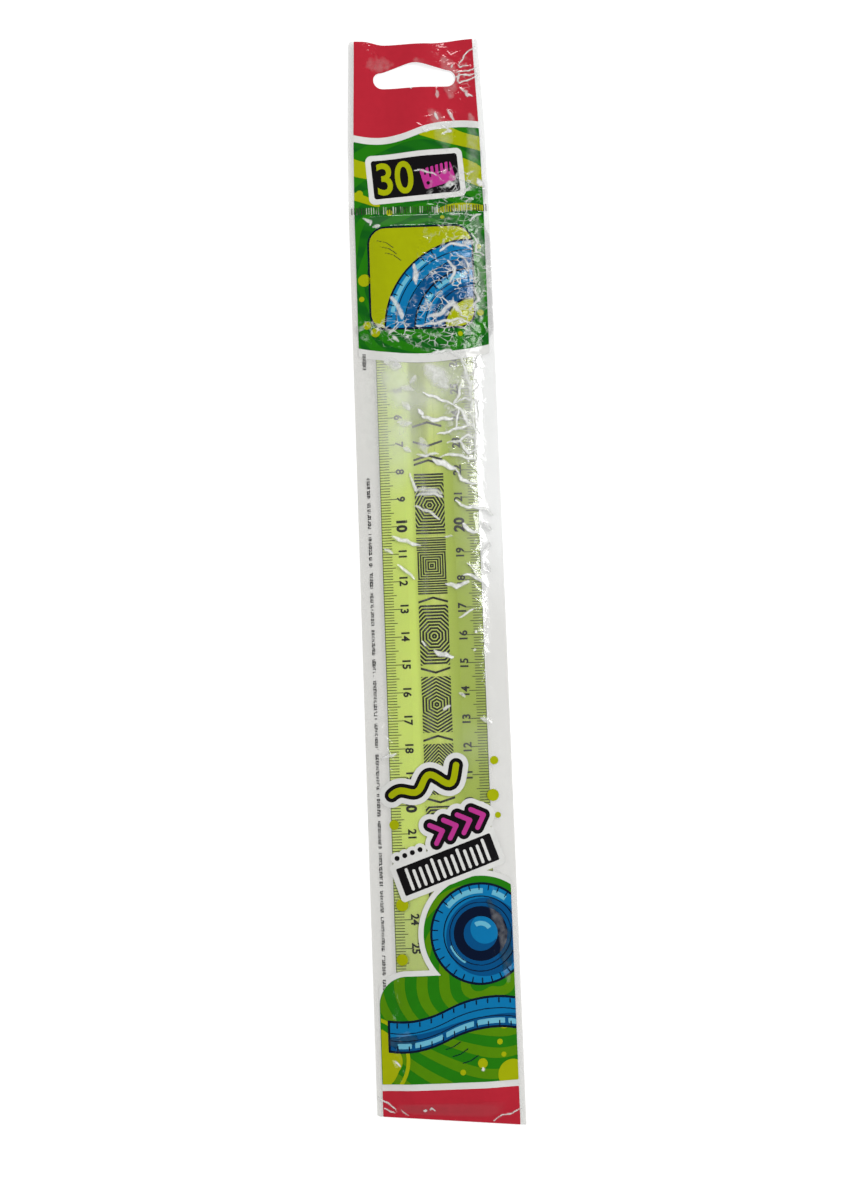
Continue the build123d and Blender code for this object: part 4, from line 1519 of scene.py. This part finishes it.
class BuildUpperPanel(bpy.types.Operator):
    """Green panel with lime swirls and dots, and the white band that ends it"""

    bl_idname = "flexible_ruler.upper_panel"
    bl_label = "Upper panel"

    def execute(self, context):
        ground = between(band_line, panel_line)
        edge_band = between(panel_line, lambda x: panel_line(x, EDGE_BAND))

        def strokes(x, y):
            return both(ground(x, y), streak(x, y))

        def swirls(x, y):
            return both(ground(x, y), either(swirl(x, y), spots(x, y, PANEL_DOTS)))

        print_pieces((-HALF_WIDTH, EDGE_BAND_LOW[1] - 1), (HALF_WIDTH, PANEL_HIGH[1] + 1), (
            ("upper_ground", ground, "green", "green_ink", 0, "upper_green_print"),
            ("upper_streaks", strokes, "leaf", "green_ink", 1),
            ("upper_swirls", swirls, "lime", "lime_ink", 2, "upper_lime_swirls"),
            ("upper_edge_band", edge_band, "white", "white_ink", 0, "upper_white_band"),
        ))
        return {"FINISHED"}


GRID_CUT = 1.3


def cut_for_film(flat):
    """Cuts a flat shape finely enough to follow the film."""
    low, high = flat[0].min(0), flat[0].max(0)
    return cut_flat(flat, *[np.arange(low[k] + GRID_CUT / 2, high[k], GRID_CUT) for k in (0, 1)])


SIZE_TURN = 4.0


class BuildSizePlate(bpy.types.Operator):
    """Black plate with the length in numerals, and a small ruler beside them"""

    bl_idname = "flexible_ruler.size_plate"
    bl_label = "Size plate"

    def execute(self, context):
        middle = (SIZE_LOW[:2] + SIZE_HIGH[:2]) / 2
        low, high = SIZE_LOW[:2] - 4, SIZE_HIGH[:2] + 4

        def border(x, y):
            return plate(x, y, middle, (36, 18.5), 2.4, SIZE_TURN)

        def face(x, y):
            return plate(x, y, middle, (32, 14.5), 1.0, SIZE_TURN)

        def small_ruler(x, y):
            right, up = turned_axes(x, y, middle, SIZE_TURN)
            body = plate(right, up, (8.2, -0.4), (12.0, 7.6), 0.9, 12.0)
            lean = up - 0.21 * (right - 8.2)
            notches = [
                both(0.35 - np.abs(right - at), lean - (3.0 - reach))
                for at, reach in (
                    (3.6, 2.0), (5.4, 3.4), (7.2, 2.0), (9.0, 3.4), (10.8, 2.0), (12.6, 3.4)
                )
            ]
            return both(body, -either(*notches), -disc(right, up, (4.4, -3.0), 0.7))

        print_pieces(low, high, (
            ("size_plate_edge", border, "white", "white_ink", 3, "size_plate_border"),
            ("size_plate_face", face, "black", "black_ink", 4, "size_plate"),
        ))
        numerals = text_flat("30", 12.2, 0.3, 6)
        numerals = move_flat(numerals, middle + (-7.6, -0.5), SIZE_TURN, (0.86, 1))
        film_layer().lay(
            "size_numerals", cut_for_film(numerals), ink("lime"), "lime_ink", level(5)
        )
        print_pieces(low, high, (("size_sign", small_ruler, "magenta", "black_ink", 5),))
        return {"FINISHED"}


# Arcs of the square motif
ARC_RADIUS = 33.0
ARC_WIDTH = 10.2
MOTIF_LINE = 0.7


class BuildMotif(bpy.types.Operator):
    """Square tile with blue arcs round one corner"""

    bl_idname = "flexible_ruler.motif"
    bl_label = "Square motif"

    def execute(self, context):
        size = MOTIF_HIGH[0] - MOTIF_LOW[0]
        middle = (MOTIF_LOW[:2] + MOTIF_HIGH[:2]) / 2
        corner = (MOTIF_HIGH[0], MOTIF_LOW[1])

        def tile(x, y, inset=0.0):
            return plate(x, y, middle, (size - 2 * inset, size - 2 * inset), 6.5 - inset)

        def inner(x, y):
            return tile(x, y, MOTIF_LINE)

        def outer_arc(x, y):
            return ring(x, y, corner, ARC_RADIUS, ARC_WIDTH)

        def inner_arc(x, y):
            return ring(x, y, corner, ARC_RADIUS - ARC_WIDTH - MOTIF_LINE, ARC_WIDTH)

        def bands(x, y):
            return both(inner(x, y), either(outer_arc(x, y), inner_arc(x, y)))

        def ground(x, y):
            away = polar(x, y, corner)[0]
            return both(inner(x, y), either(away - 33.7, 11.2 - away))

        def shade(x, y):
            first = disc(x, y, (corner[0] + 1.2, corner[1] - 0.6), 27.4)
            second = disc(x, y, (corner[0] - 0.4, corner[1] + 1.0), 16.4)
            shaded = either(both(first, outer_arc(x, y)), both(second, inner_arc(x, y)))
            return both(inner(x, y), shaded)

        def highlights(x, y):
            return both(inner(x, y), arcs(x, y, corner, (
                (31.2, 1.5, 12, 40), (31.2, 1.5, 47, 55), (20.4, 1.4, 48, 80),
                (20.4, 1.4, 30, 40), (15.0, 1.1, 20, 34),
            )))

        def pen_lines(x, y):
            away, angle = polar(x, y, corner)
            parts = [0.17 - np.abs(away - radius) for radius in (29.6, 26.4, 18.9, 15.9)]
            for radius, outer in ((33.0, 1.9), (22.1, 1.7)):
                off = np.abs((angle + 2) % 7.5 - 3.75) * math.radians(1) * radius
                parts.append(both(0.2 - off, away - (radius - outer), radius - away))
            strokes = [
                stroke(x, y, [(a, b), (a + 3.4, b - 1.0), (a + 6.2, b - 3.2)], 0.26)
                for a, b in ((-16.0, 121.0), (-14.8, 118.6), (-13.4, 116.2))
            ]
            return either(both(bands(x, y), either(*parts)), *strokes)

        print_pieces(MOTIF_LOW[:2] - 1, MOTIF_HIGH[:2] + 1, (
            ("motif_edge", tile, "navy", "navy_ink", 2, "motif_outline"),
            ("motif_field", ground, "lime", "lime_ink", 3, "motif_ground"),
            ("motif_arcs", bands, "blue", "blue_ink", 3, "motif_bands"),
            ("motif_shade", shade, "deep", "blue_ink", 4),
            ("motif_highlights", highlights, "sky", "blue_ink", 4),
            ("motif_pen_lines", pen_lines, "navy", "navy_ink", 5),
        ))
        return {"FINISHED"}


PLATE_TURN = 19.0
PLATE_MIDDLES = ((-5.2, -77.9), (6.8, -92.5), (1.8, -106.6))


def turned(place, points):
    """Points of a plate, given along and across it, in the pouch's place."""
    angle = math.radians(PLATE_TURN)
    return [
        (place[0] + u * math.cos(angle) - v * math.sin(angle),
         place[1] + u * math.sin(angle) + v * math.cos(angle))
        for u, v in points
    ]


def wave_mark():
    """The lime wave of the upper plate."""
    along = np.linspace(-12.6, 12.6, 34)
    return turned(
        PLATE_MIDDLES[0], [(u, (2.2 + 0.12 * u) * math.sin(u / 2.0 + 0.6)) for u in along]
    )


def arrow_heads():
    """The magenta arrow heads of the middle plate."""
    return [
        turned(PLATE_MIDDLES[1], [(at - 2.0, 3.4), (at + 1.6, 0.0), (at - 2.0, -3.4)])
        for at in (-8.4, -3.2, 2.0, 7.2)
    ]


class BuildPlates(bpy.types.Operator):
    """Tilted black and white plates over the window, with bright marks on them"""

    bl_idname = "flexible_ruler.plates"
    bl_label = "Tilted plates"

    def execute(self, context):
        def wave_stroke(x, y, width=2.3):
            return stroke(x, y, wave_mark(), width)

        def heads(x, y, width=1.9 * 0.9):
            return either(*[stroke(x, y, head, width) for head in arrow_heads()])

        def blocks(x, y, grow):
            width = 5.0 + 2 * grow
            shapes = [wave_stroke(x, y, width), heads(x, y, width * 0.9)]
            for middle, size, corner in (
                (PLATE_MIDDLES[1], (18 + 2 * grow, 6 + 2 * grow), 2),
                (PLATE_MIDDLES[2], (35.6 + 2 * grow, 10 + 2 * grow), 0.4 + grow / 2),
            ):
                shapes.append(plate(x, y, middle, size, corner, PLATE_TURN))
            return both(printed_area(x, y), either(*shapes))

        def dots(x, y, radius):
            places = turned(PLATE_MIDDLES[2], [(-16.0 + 2.9 * k, 8.4) for k in range(4)])
            return either(*[disc(x, y, place, radius) for place in places])

        def edges(x, y):
            return either(blocks(x, y, 1.9), dots(x, y, 2.2))

        def faces(x, y):
            return either(blocks(x, y, 0.0), dots(x, y, 0.9))

        def tally(x, y):
            bars = []
            for k in range(13):
                at = -14.4 + 2.4 * k
                reach = 3.6 if k % 4 == 0 else 2.3
                bar = turned(PLATE_MIDDLES[2], [(at, -3.6), (at, reach)])
                bars.append(stroke(x, y, bar, 1.1))
            return either(*bars)

        print_pieces((-25.0, -122.0), (25.0, -62.0), (
            ("plate_edges", edges, "white", "white_ink", 2, "name_plate_borders"),
            ("plate_faces", faces, "black", "black_ink", 3, "name_plates"),
            ("plate_wave", wave_stroke, "lime", "lime_ink", 4),
            ("plate_arrow_heads", heads, "magenta", "black_ink", 4),
            ("plate_tally", tally, "white", "white_ink", 4),
        ))
        return {"FINISHED"}


LOBE = (12.5, FOOT_BAND_Y + 51.0)
RIBBON_Y = FOOT_BAND_Y + 20.0
SWIRL_MIDDLE = (-29.0, FOOT_BAND_Y + 8.5)
LOWER_DOTS = (
    (9.0, -160.0, 3.2), (19.5, -162.0, 2.2), (17.8, -168.6, 1.0), (19.0, -173.0, 0.9),
    (11.5, -175.6, 1.7), (22.0, -180.0, 5.2), (-21.5, -174.0, 5.0), (4.5, -178.5, 1.0),
)


def ribbon_line(x, rise=0.0):
    """Middle of the waved ribbon, or a line beside it."""
    return wave(x, RIBBON_Y + rise, 5.0, (2.5, -2.5))


class BuildLowerPanel(bpy.types.Operator):
    """Green panel with a round lobe, blue rings and a waved ribbon"""

    bl_idname = "flexible_ruler.lower_panel"
    bl_label = "Lower panel"

    def execute(self, context):
        def ground(x, y, grow=0.0):
            block = plate(
                x, y, (PRINT_MARGIN, FOOT_BAND_Y + 37.0 - 40.0 + grow / 2),
                (2 * HALF_WIDTH + 2 * grow, 80.0 + grow), 10.0 + grow,
            )
            lobe = disc(x, y, LOBE, 20.1 + grow)
            return both(printed_area(x, y), either(block, lobe), y - FOOT_BAND_Y)

        def ribbon(x, y, grow=0.0):
            return both(4.75 + grow - np.abs(y - ribbon_line(x)), x + 20.5 + grow)

        def lobe_ring(x, y):
            return ring(x, y, LOBE, 17.0, 7.5)

        def hub(x, y):
            return disc(x, y, LOBE, 6.0)

        def strokes(x, y):
            away = np.hypot((x - 14) * 0.92, y - FOOT_BAND_Y - 38)
            turn = np.arctan2(y - FOOT_BAND_Y - 38, x - 14)
            bent = away + 1.1 * np.sin(4 * turn + away / 9)
            return both(ground(x, y, -0.2), 1.2 * (np.sin(bent / 1.05) - 0.05))

        def swirls(x, y):
            left = disc(x, y, SWIRL_MIDDLE, 11.8)
            thin = ring(x, y, SWIRL_MIDDLE, 15.2, 1.3)
            return both(ground(x, y, -0.2), either(left, thin, spots(x, y, LOWER_DOTS)))

        def outline(x, y):
            return both(ground(x, y), either(disc(x, y, LOBE, 17.8), ribbon(x, y, 0.8)))

        def ribbons(x, y):
            return both(ground(x, y), either(lobe_ring(x, y), hub(x, y), ribbon(x, y)))

        def shade(x, y):
            lobe = both(disc(x, y, (LOBE[0] + 1.4, LOBE[1] - 1.2), 13.6), lobe_ring(x, y))
            core = both(hub(x, y), -disc(x, y, (LOBE[0] + 1.6, LOBE[1] + 1.6), 5.2))
            below = ribbon_line(x) - 0.4 - 0.9 * np.sin(x / 7.0) - y
            return both(ground(x, y), either(lobe, core, both(below, ribbon(x, y))))

        def highlights(x, y):
            bright = arcs(x, y, LOBE, (
                (14.9, 1.8, 40, 95), (14.9, 1.8, 108, 128), (11.2, 1.0, -60, -20),
                (3.6, 1.6, 60, 150),
            ))
            gap = np.abs((x + 40) % 11.0 - 5.5) - 0.6
            dashes = both(0.9 - np.abs(y - ribbon_line(x, -3.1)), gap, x + 18.0)
            return both(ground(x, y), either(bright, dashes))

        def pen_lines(x, y):
            away, angle = polar(x, y, LOBE)
            off = np.abs(angle % 12.0 - 6.0) * math.radians(1) * 17
            line, inside = ribbon_line(x), ribbon(x, y)
            parts = [
                0.18 - np.abs(away - 13.0), 0.16 - np.abs(away - 10.9),
                both(0.2 - off, away - 15.0, 17.2 - away),
                both(0.17 - np.abs(y - line - 1.2), inside),
                both(0.17 - np.abs(y - line + 1.4), inside),
                both(0.22 - np.abs(x % 4.0 - 2.0), np.abs(y - line) - 3.0, inside),
            ]
            for at, low_y in ((-1.5, 11.5), (1.0, 9.0), (4.5, 6.6)):
                foot = FOOT_BAND_Y + low_y
                bow = [(at, foot), (at + 3.0, foot + 0.9), (at + 5.6, foot + 2.6)]
                parts.append(stroke(x, y, bow, 0.3))
            return both(ground(x, y), either(*parts))

        print_pieces((-HALF_WIDTH, FOOT_BAND_Y - 1), (HALF_WIDTH, LOBE[1] + 24), (
            ("lower_edge", lambda x, y: ground(x, y, 1.9), "white", "white_ink", 0,
             "lower_white_border"),
            ("lower_ground", ground, "leaf", "green_ink", 1, "lower_green_print"),
            ("lower_streaks", strokes, "fern", "green_ink", 2),
            ("lower_swirls", swirls, "lime", "lime_ink", 3, "lower_lime_swirls"),
            ("lower_outline", outline, "navy", "navy_ink", 4, "lower_band_outline"),
            ("lower_ribbons", ribbons, "blue", "blue_ink", 5, "lower_bands"),
            ("lower_shade", shade, "deep", "blue_ink", 6),
            ("lower_highlights", highlights, "sky", "blue_ink", 7),
            ("lower_pen_lines", pen_lines, "navy", "navy_ink", 8),
        ))
        return {"FINISHED"}


class BuildFoot(bpy.types.Operator):
    """White band and red strip at the foot"""

    bl_idname = "flexible_ruler.foot"
    bl_label = "Foot print"

    def execute(self, context):
        red_y = FOOT_BAND_LOW[1]
        band = between(lambda x: FOOT_BAND_Y, lambda x: red_y)

        def field(x, y):
            return both(printed_area(x, y), red_y - y)

        print_pieces((-HALF_WIDTH, FOOT_Y), (HALF_WIDTH, FOOT_BAND_Y + 1), (
            ("foot_band", band, "white", "white_ink", 0, "foot_white_band"),
            ("foot_field", field, "red", "red_ink", 0, "foot_red_print"),
        ))
        return {"FINISHED"}


WINDOW_DOTS = (
    (19.7, -70.5, 1.5), (18.8, -82.8, 2.15), (20.3, -89.9, 1.1), (-16.7, -92.1, 1.75),
    (-14.8, -120.2, 2.2), (-15.4, -139.2, 2.0),
)
# Heights where the words of the fine print start
WORD_STARTS = (
    33.0, 23.8, 12.6, -1.4, -9.0, -22.4, -33.0, -40.6, -56.0, -66.8, -81.0, -90.6, -101.8,
    -115.0, -124.2, -137.6, -146.0, -158.0,
)
WORD_GAP = 1.5
FINE_PRINT_X = -22.0


class BuildWindowPrint(bpy.types.Operator):
    """Lime dots and a column of fine dashes on the clear window"""

    bl_idname = "flexible_ruler.window_print"
    bl_label = "Window print"

    def execute(self, context):
        print_pieces((-25, -145), (25, -65), (
            ("window_dots", lambda x, y: spots(x, y, WINDOW_DOTS), "lime", "lime_ink", 0),
        ))
        words = join_flats([
            move_flat(dash_column(345, height, longest, kept, seed), place)
            for height, longest, kept, seed, place in (
                (1.3, 0.4, 0.88, 5, (0.0, 0.0)), (0.4, 0.5, 0.3, 9, (0.42, -0.2)),
                (0.4, 0.5, 0.3, 14, (-0.42, -0.25)),
            )
        ])
        words = move_flat(words, (FINE_PRINT_X, WORD_STARTS[0]))
        column = [
            cut_flat(words, keep_y=(after + WORD_GAP, start))
            for start, after in zip(WORD_STARTS, WORD_STARTS[1:])
        ]
        column.append(move_flat(dash_column(11, 1.5, 0.42, 1.0, 2), (FINE_PRINT_X, 78.8)))
        film_layer().lay(
            "window_dashes", join_flats(column), ink("black"), "black_ink", level(0)
        )
        return {"FINISHED"}


TICK_REACH = (3.6, 4.7, 6.0)
TICK_INSET = 0.02
PLAIN_WEIGHT = 0.13
DECADE_WEIGHT = 0.24


class BuildRuler(bpy.types.Operator):
    """Plastic of the ruler, its graduations and numerals"""

    bl_idname = "flexible_ruler.ruler"
    bl_label = "Ruler and numerals"

    def execute(self, context):
        looks = context.scene.ruler_looks.ruler
        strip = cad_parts["ruler_strip"]
        strip.data.materials.clear()
        strip.data.materials.append(ink("plastic"))
        on_ruler = ruler_layer()

        def scale_print(name, flat, replaced=()):
            on_ruler.lay(
                name, flat, ink("scale"), "scale_ink", RULER_INK_LIFT, RULER_INK, replaced
            )

        ticks = tick_row(TICK_REACH, looks.mark_width / MM, ink("scale"))
        for word, side in (("left", 1), ("right", -1)):
            start = (-side * (RULER_HALF - TICK_INSET), ZERO_Y)
            scale_print(
                f"{word}_graduations", move_flat(ticks, start, 0.0, (side, 1)),
                (f"{word}_scale_marks",),
            )
        place_x = RULER_HALF - looks.inset / MM
        left, right = [], []
        for value in range(31):
            tall, weight = looks.numeral, PLAIN_WEIGHT
            if value % 10 == 0:
                tall, weight = looks.decade, DECADE_WEIGHT
            flat = text_flat(str(value), tall / MM, weight)
            left.append(move_flat(flat, (-place_x, ZERO_Y - 10 * value), -90.0))
            right.append(move_flat(flat, (place_x, ZERO_Y - 300 + 10 * value), 90.0))
        scale_print("left_numerals", join_flats(left))
        scale_print("right_numerals", join_flats(right))
        return {"FINISHED"}


# Figures of the line pattern: sides, middle, head, foot and turn
FIGURES = (
    (6, 22.0, 34.0, 11.0, 0.0), (4, 0.0, 10.2, -10.4, 45.0), (8, -25.5, -14.2, -36.0, 22.5),
    (6, -50.0, -40.0, -60.0, 30.0), (4, -72.0, -64.0, -82.0, 0.0),
    (8, -96.0, -86.0, -106.0, 22.5), (6, -120.0, -110.0, -131.0, 0.0),
    (4, -144.0, -135.0, -154.0, 45.0), (8, -168.0, -158.0, -179.0, 22.5),
)
# Chevrons: height, how many and the side that they point to
CHEVRONS = (
    (50.5, 1, 1), (45.0, 1, -1), (38.2, 2, 1), (-13.6, 1, 1), (-37.4, 1, -1), (-63.2, 1, 1),
    (-83.5, 1, -1), (-109.2, 1, 1), (-132.5, 1, -1), (-157.2, 1, 1),
)

CHEVRON_PITCH = 1.7
CHEVRON_RISE = 1.6
CHEVRON_WIDTH = 0.8


class BuildPattern(bpy.types.Operator):
    """Black line pattern along the middle of the ruler"""

    bl_idname = "flexible_ruler.pattern"
    bl_label = "Line pattern"

    def execute(self, context):
        looks = context.scene.ruler_looks.ruler
        half = looks.band_width / MM / 2
        line, pitch = looks.line_width / MM, looks.line_pitch / MM
        parts = []
        for sides, middle, head, foot, turn in FIGURES:
            rings = math.ceil(1.5 * max(head - middle, middle - foot) / pitch)
            flat = nested_rings(sides, rings, pitch, line, ink("scale"))
            flat = move_flat(flat, (0.0, middle), turn)
            parts.append(cut_flat(flat, keep_x=(-half, half), keep_y=(foot, head)))
        for middle, count, side in CHEVRONS:
            for k in range(count):
                y = middle - CHEVRON_PITCH * k
                tip, wide = y + CHEVRON_RISE * side, CHEVRON_WIDTH
                points = np.array([
                    (-half, y), (0, tip), (half, y), (half, y + wide), (0, tip + wide),
                    (-half, y + wide),
                ])
                parts.append((points, [[0, 1, 4, 5], [1, 2, 3, 4]]))
        folds = [s * v for v in (GROOVE_HALF, GROOVE_HALF - GROOVE_DEPTH) for s in (-1, 1)]
        whole = cut_flat(join_flats(parts), folds)
        ruler_layer().lay("line_pattern", whole, ink("scale"), "scale_ink", PATTERN_LIFT)
        return {"FINISHED"}


BUILDERS = (
    BuildStage, BuildFilm, BuildHeader, BuildUpperPanel, BuildSizePlate, BuildMotif,
    BuildPlates, BuildLowerPanel, BuildFoot, BuildWindowPrint, BuildRuler, BuildPattern,
)


class RulerPanel(bpy.types.Panel):
    """Lists the pieces and the settings that they use"""

    bl_idname = "VIEW3D_PT_flexible_ruler"
    bl_label = "Flexible Ruler"
    bl_space_type = "VIEW_3D"
    bl_region_type = "UI"
    bl_category = "Flexible Ruler"

    def draw(self, context):
        looks = context.scene.ruler_looks
        for group in (looks.film, looks.inks, looks.ruler, looks.stage):
            box = self.layout.box()
            for name in group.__annotations__:
                box.prop(group, name)
        for builder in BUILDERS:
            self.layout.operator(builder.bl_idname)


CLASSES = (
    FilmLooks, PrintLooks, RulerLooks, StageLooks, RulerSceneLooks, *BUILDERS, RulerPanel,
)


def register():
    """Registers the classes and puts the settings on the scene."""
    for cls in CLASSES:
        bpy.utils.register_class(cls)
    bpy.types.Scene.ruler_looks = PointerProperty(type=RulerSceneLooks)


def unregister():
    """Takes the settings and the classes away again."""
    del bpy.types.Scene.ruler_looks
    for cls in reversed(CLASSES):
        bpy.utils.unregister_class(cls)


def main():
    """Builds every piece in order."""
    register()
    for builder in BUILDERS:
        group, name = builder.bl_idname.split(".")
        getattr(getattr(bpy.ops, group), name)()


if __name__ == "__main__":
    main()
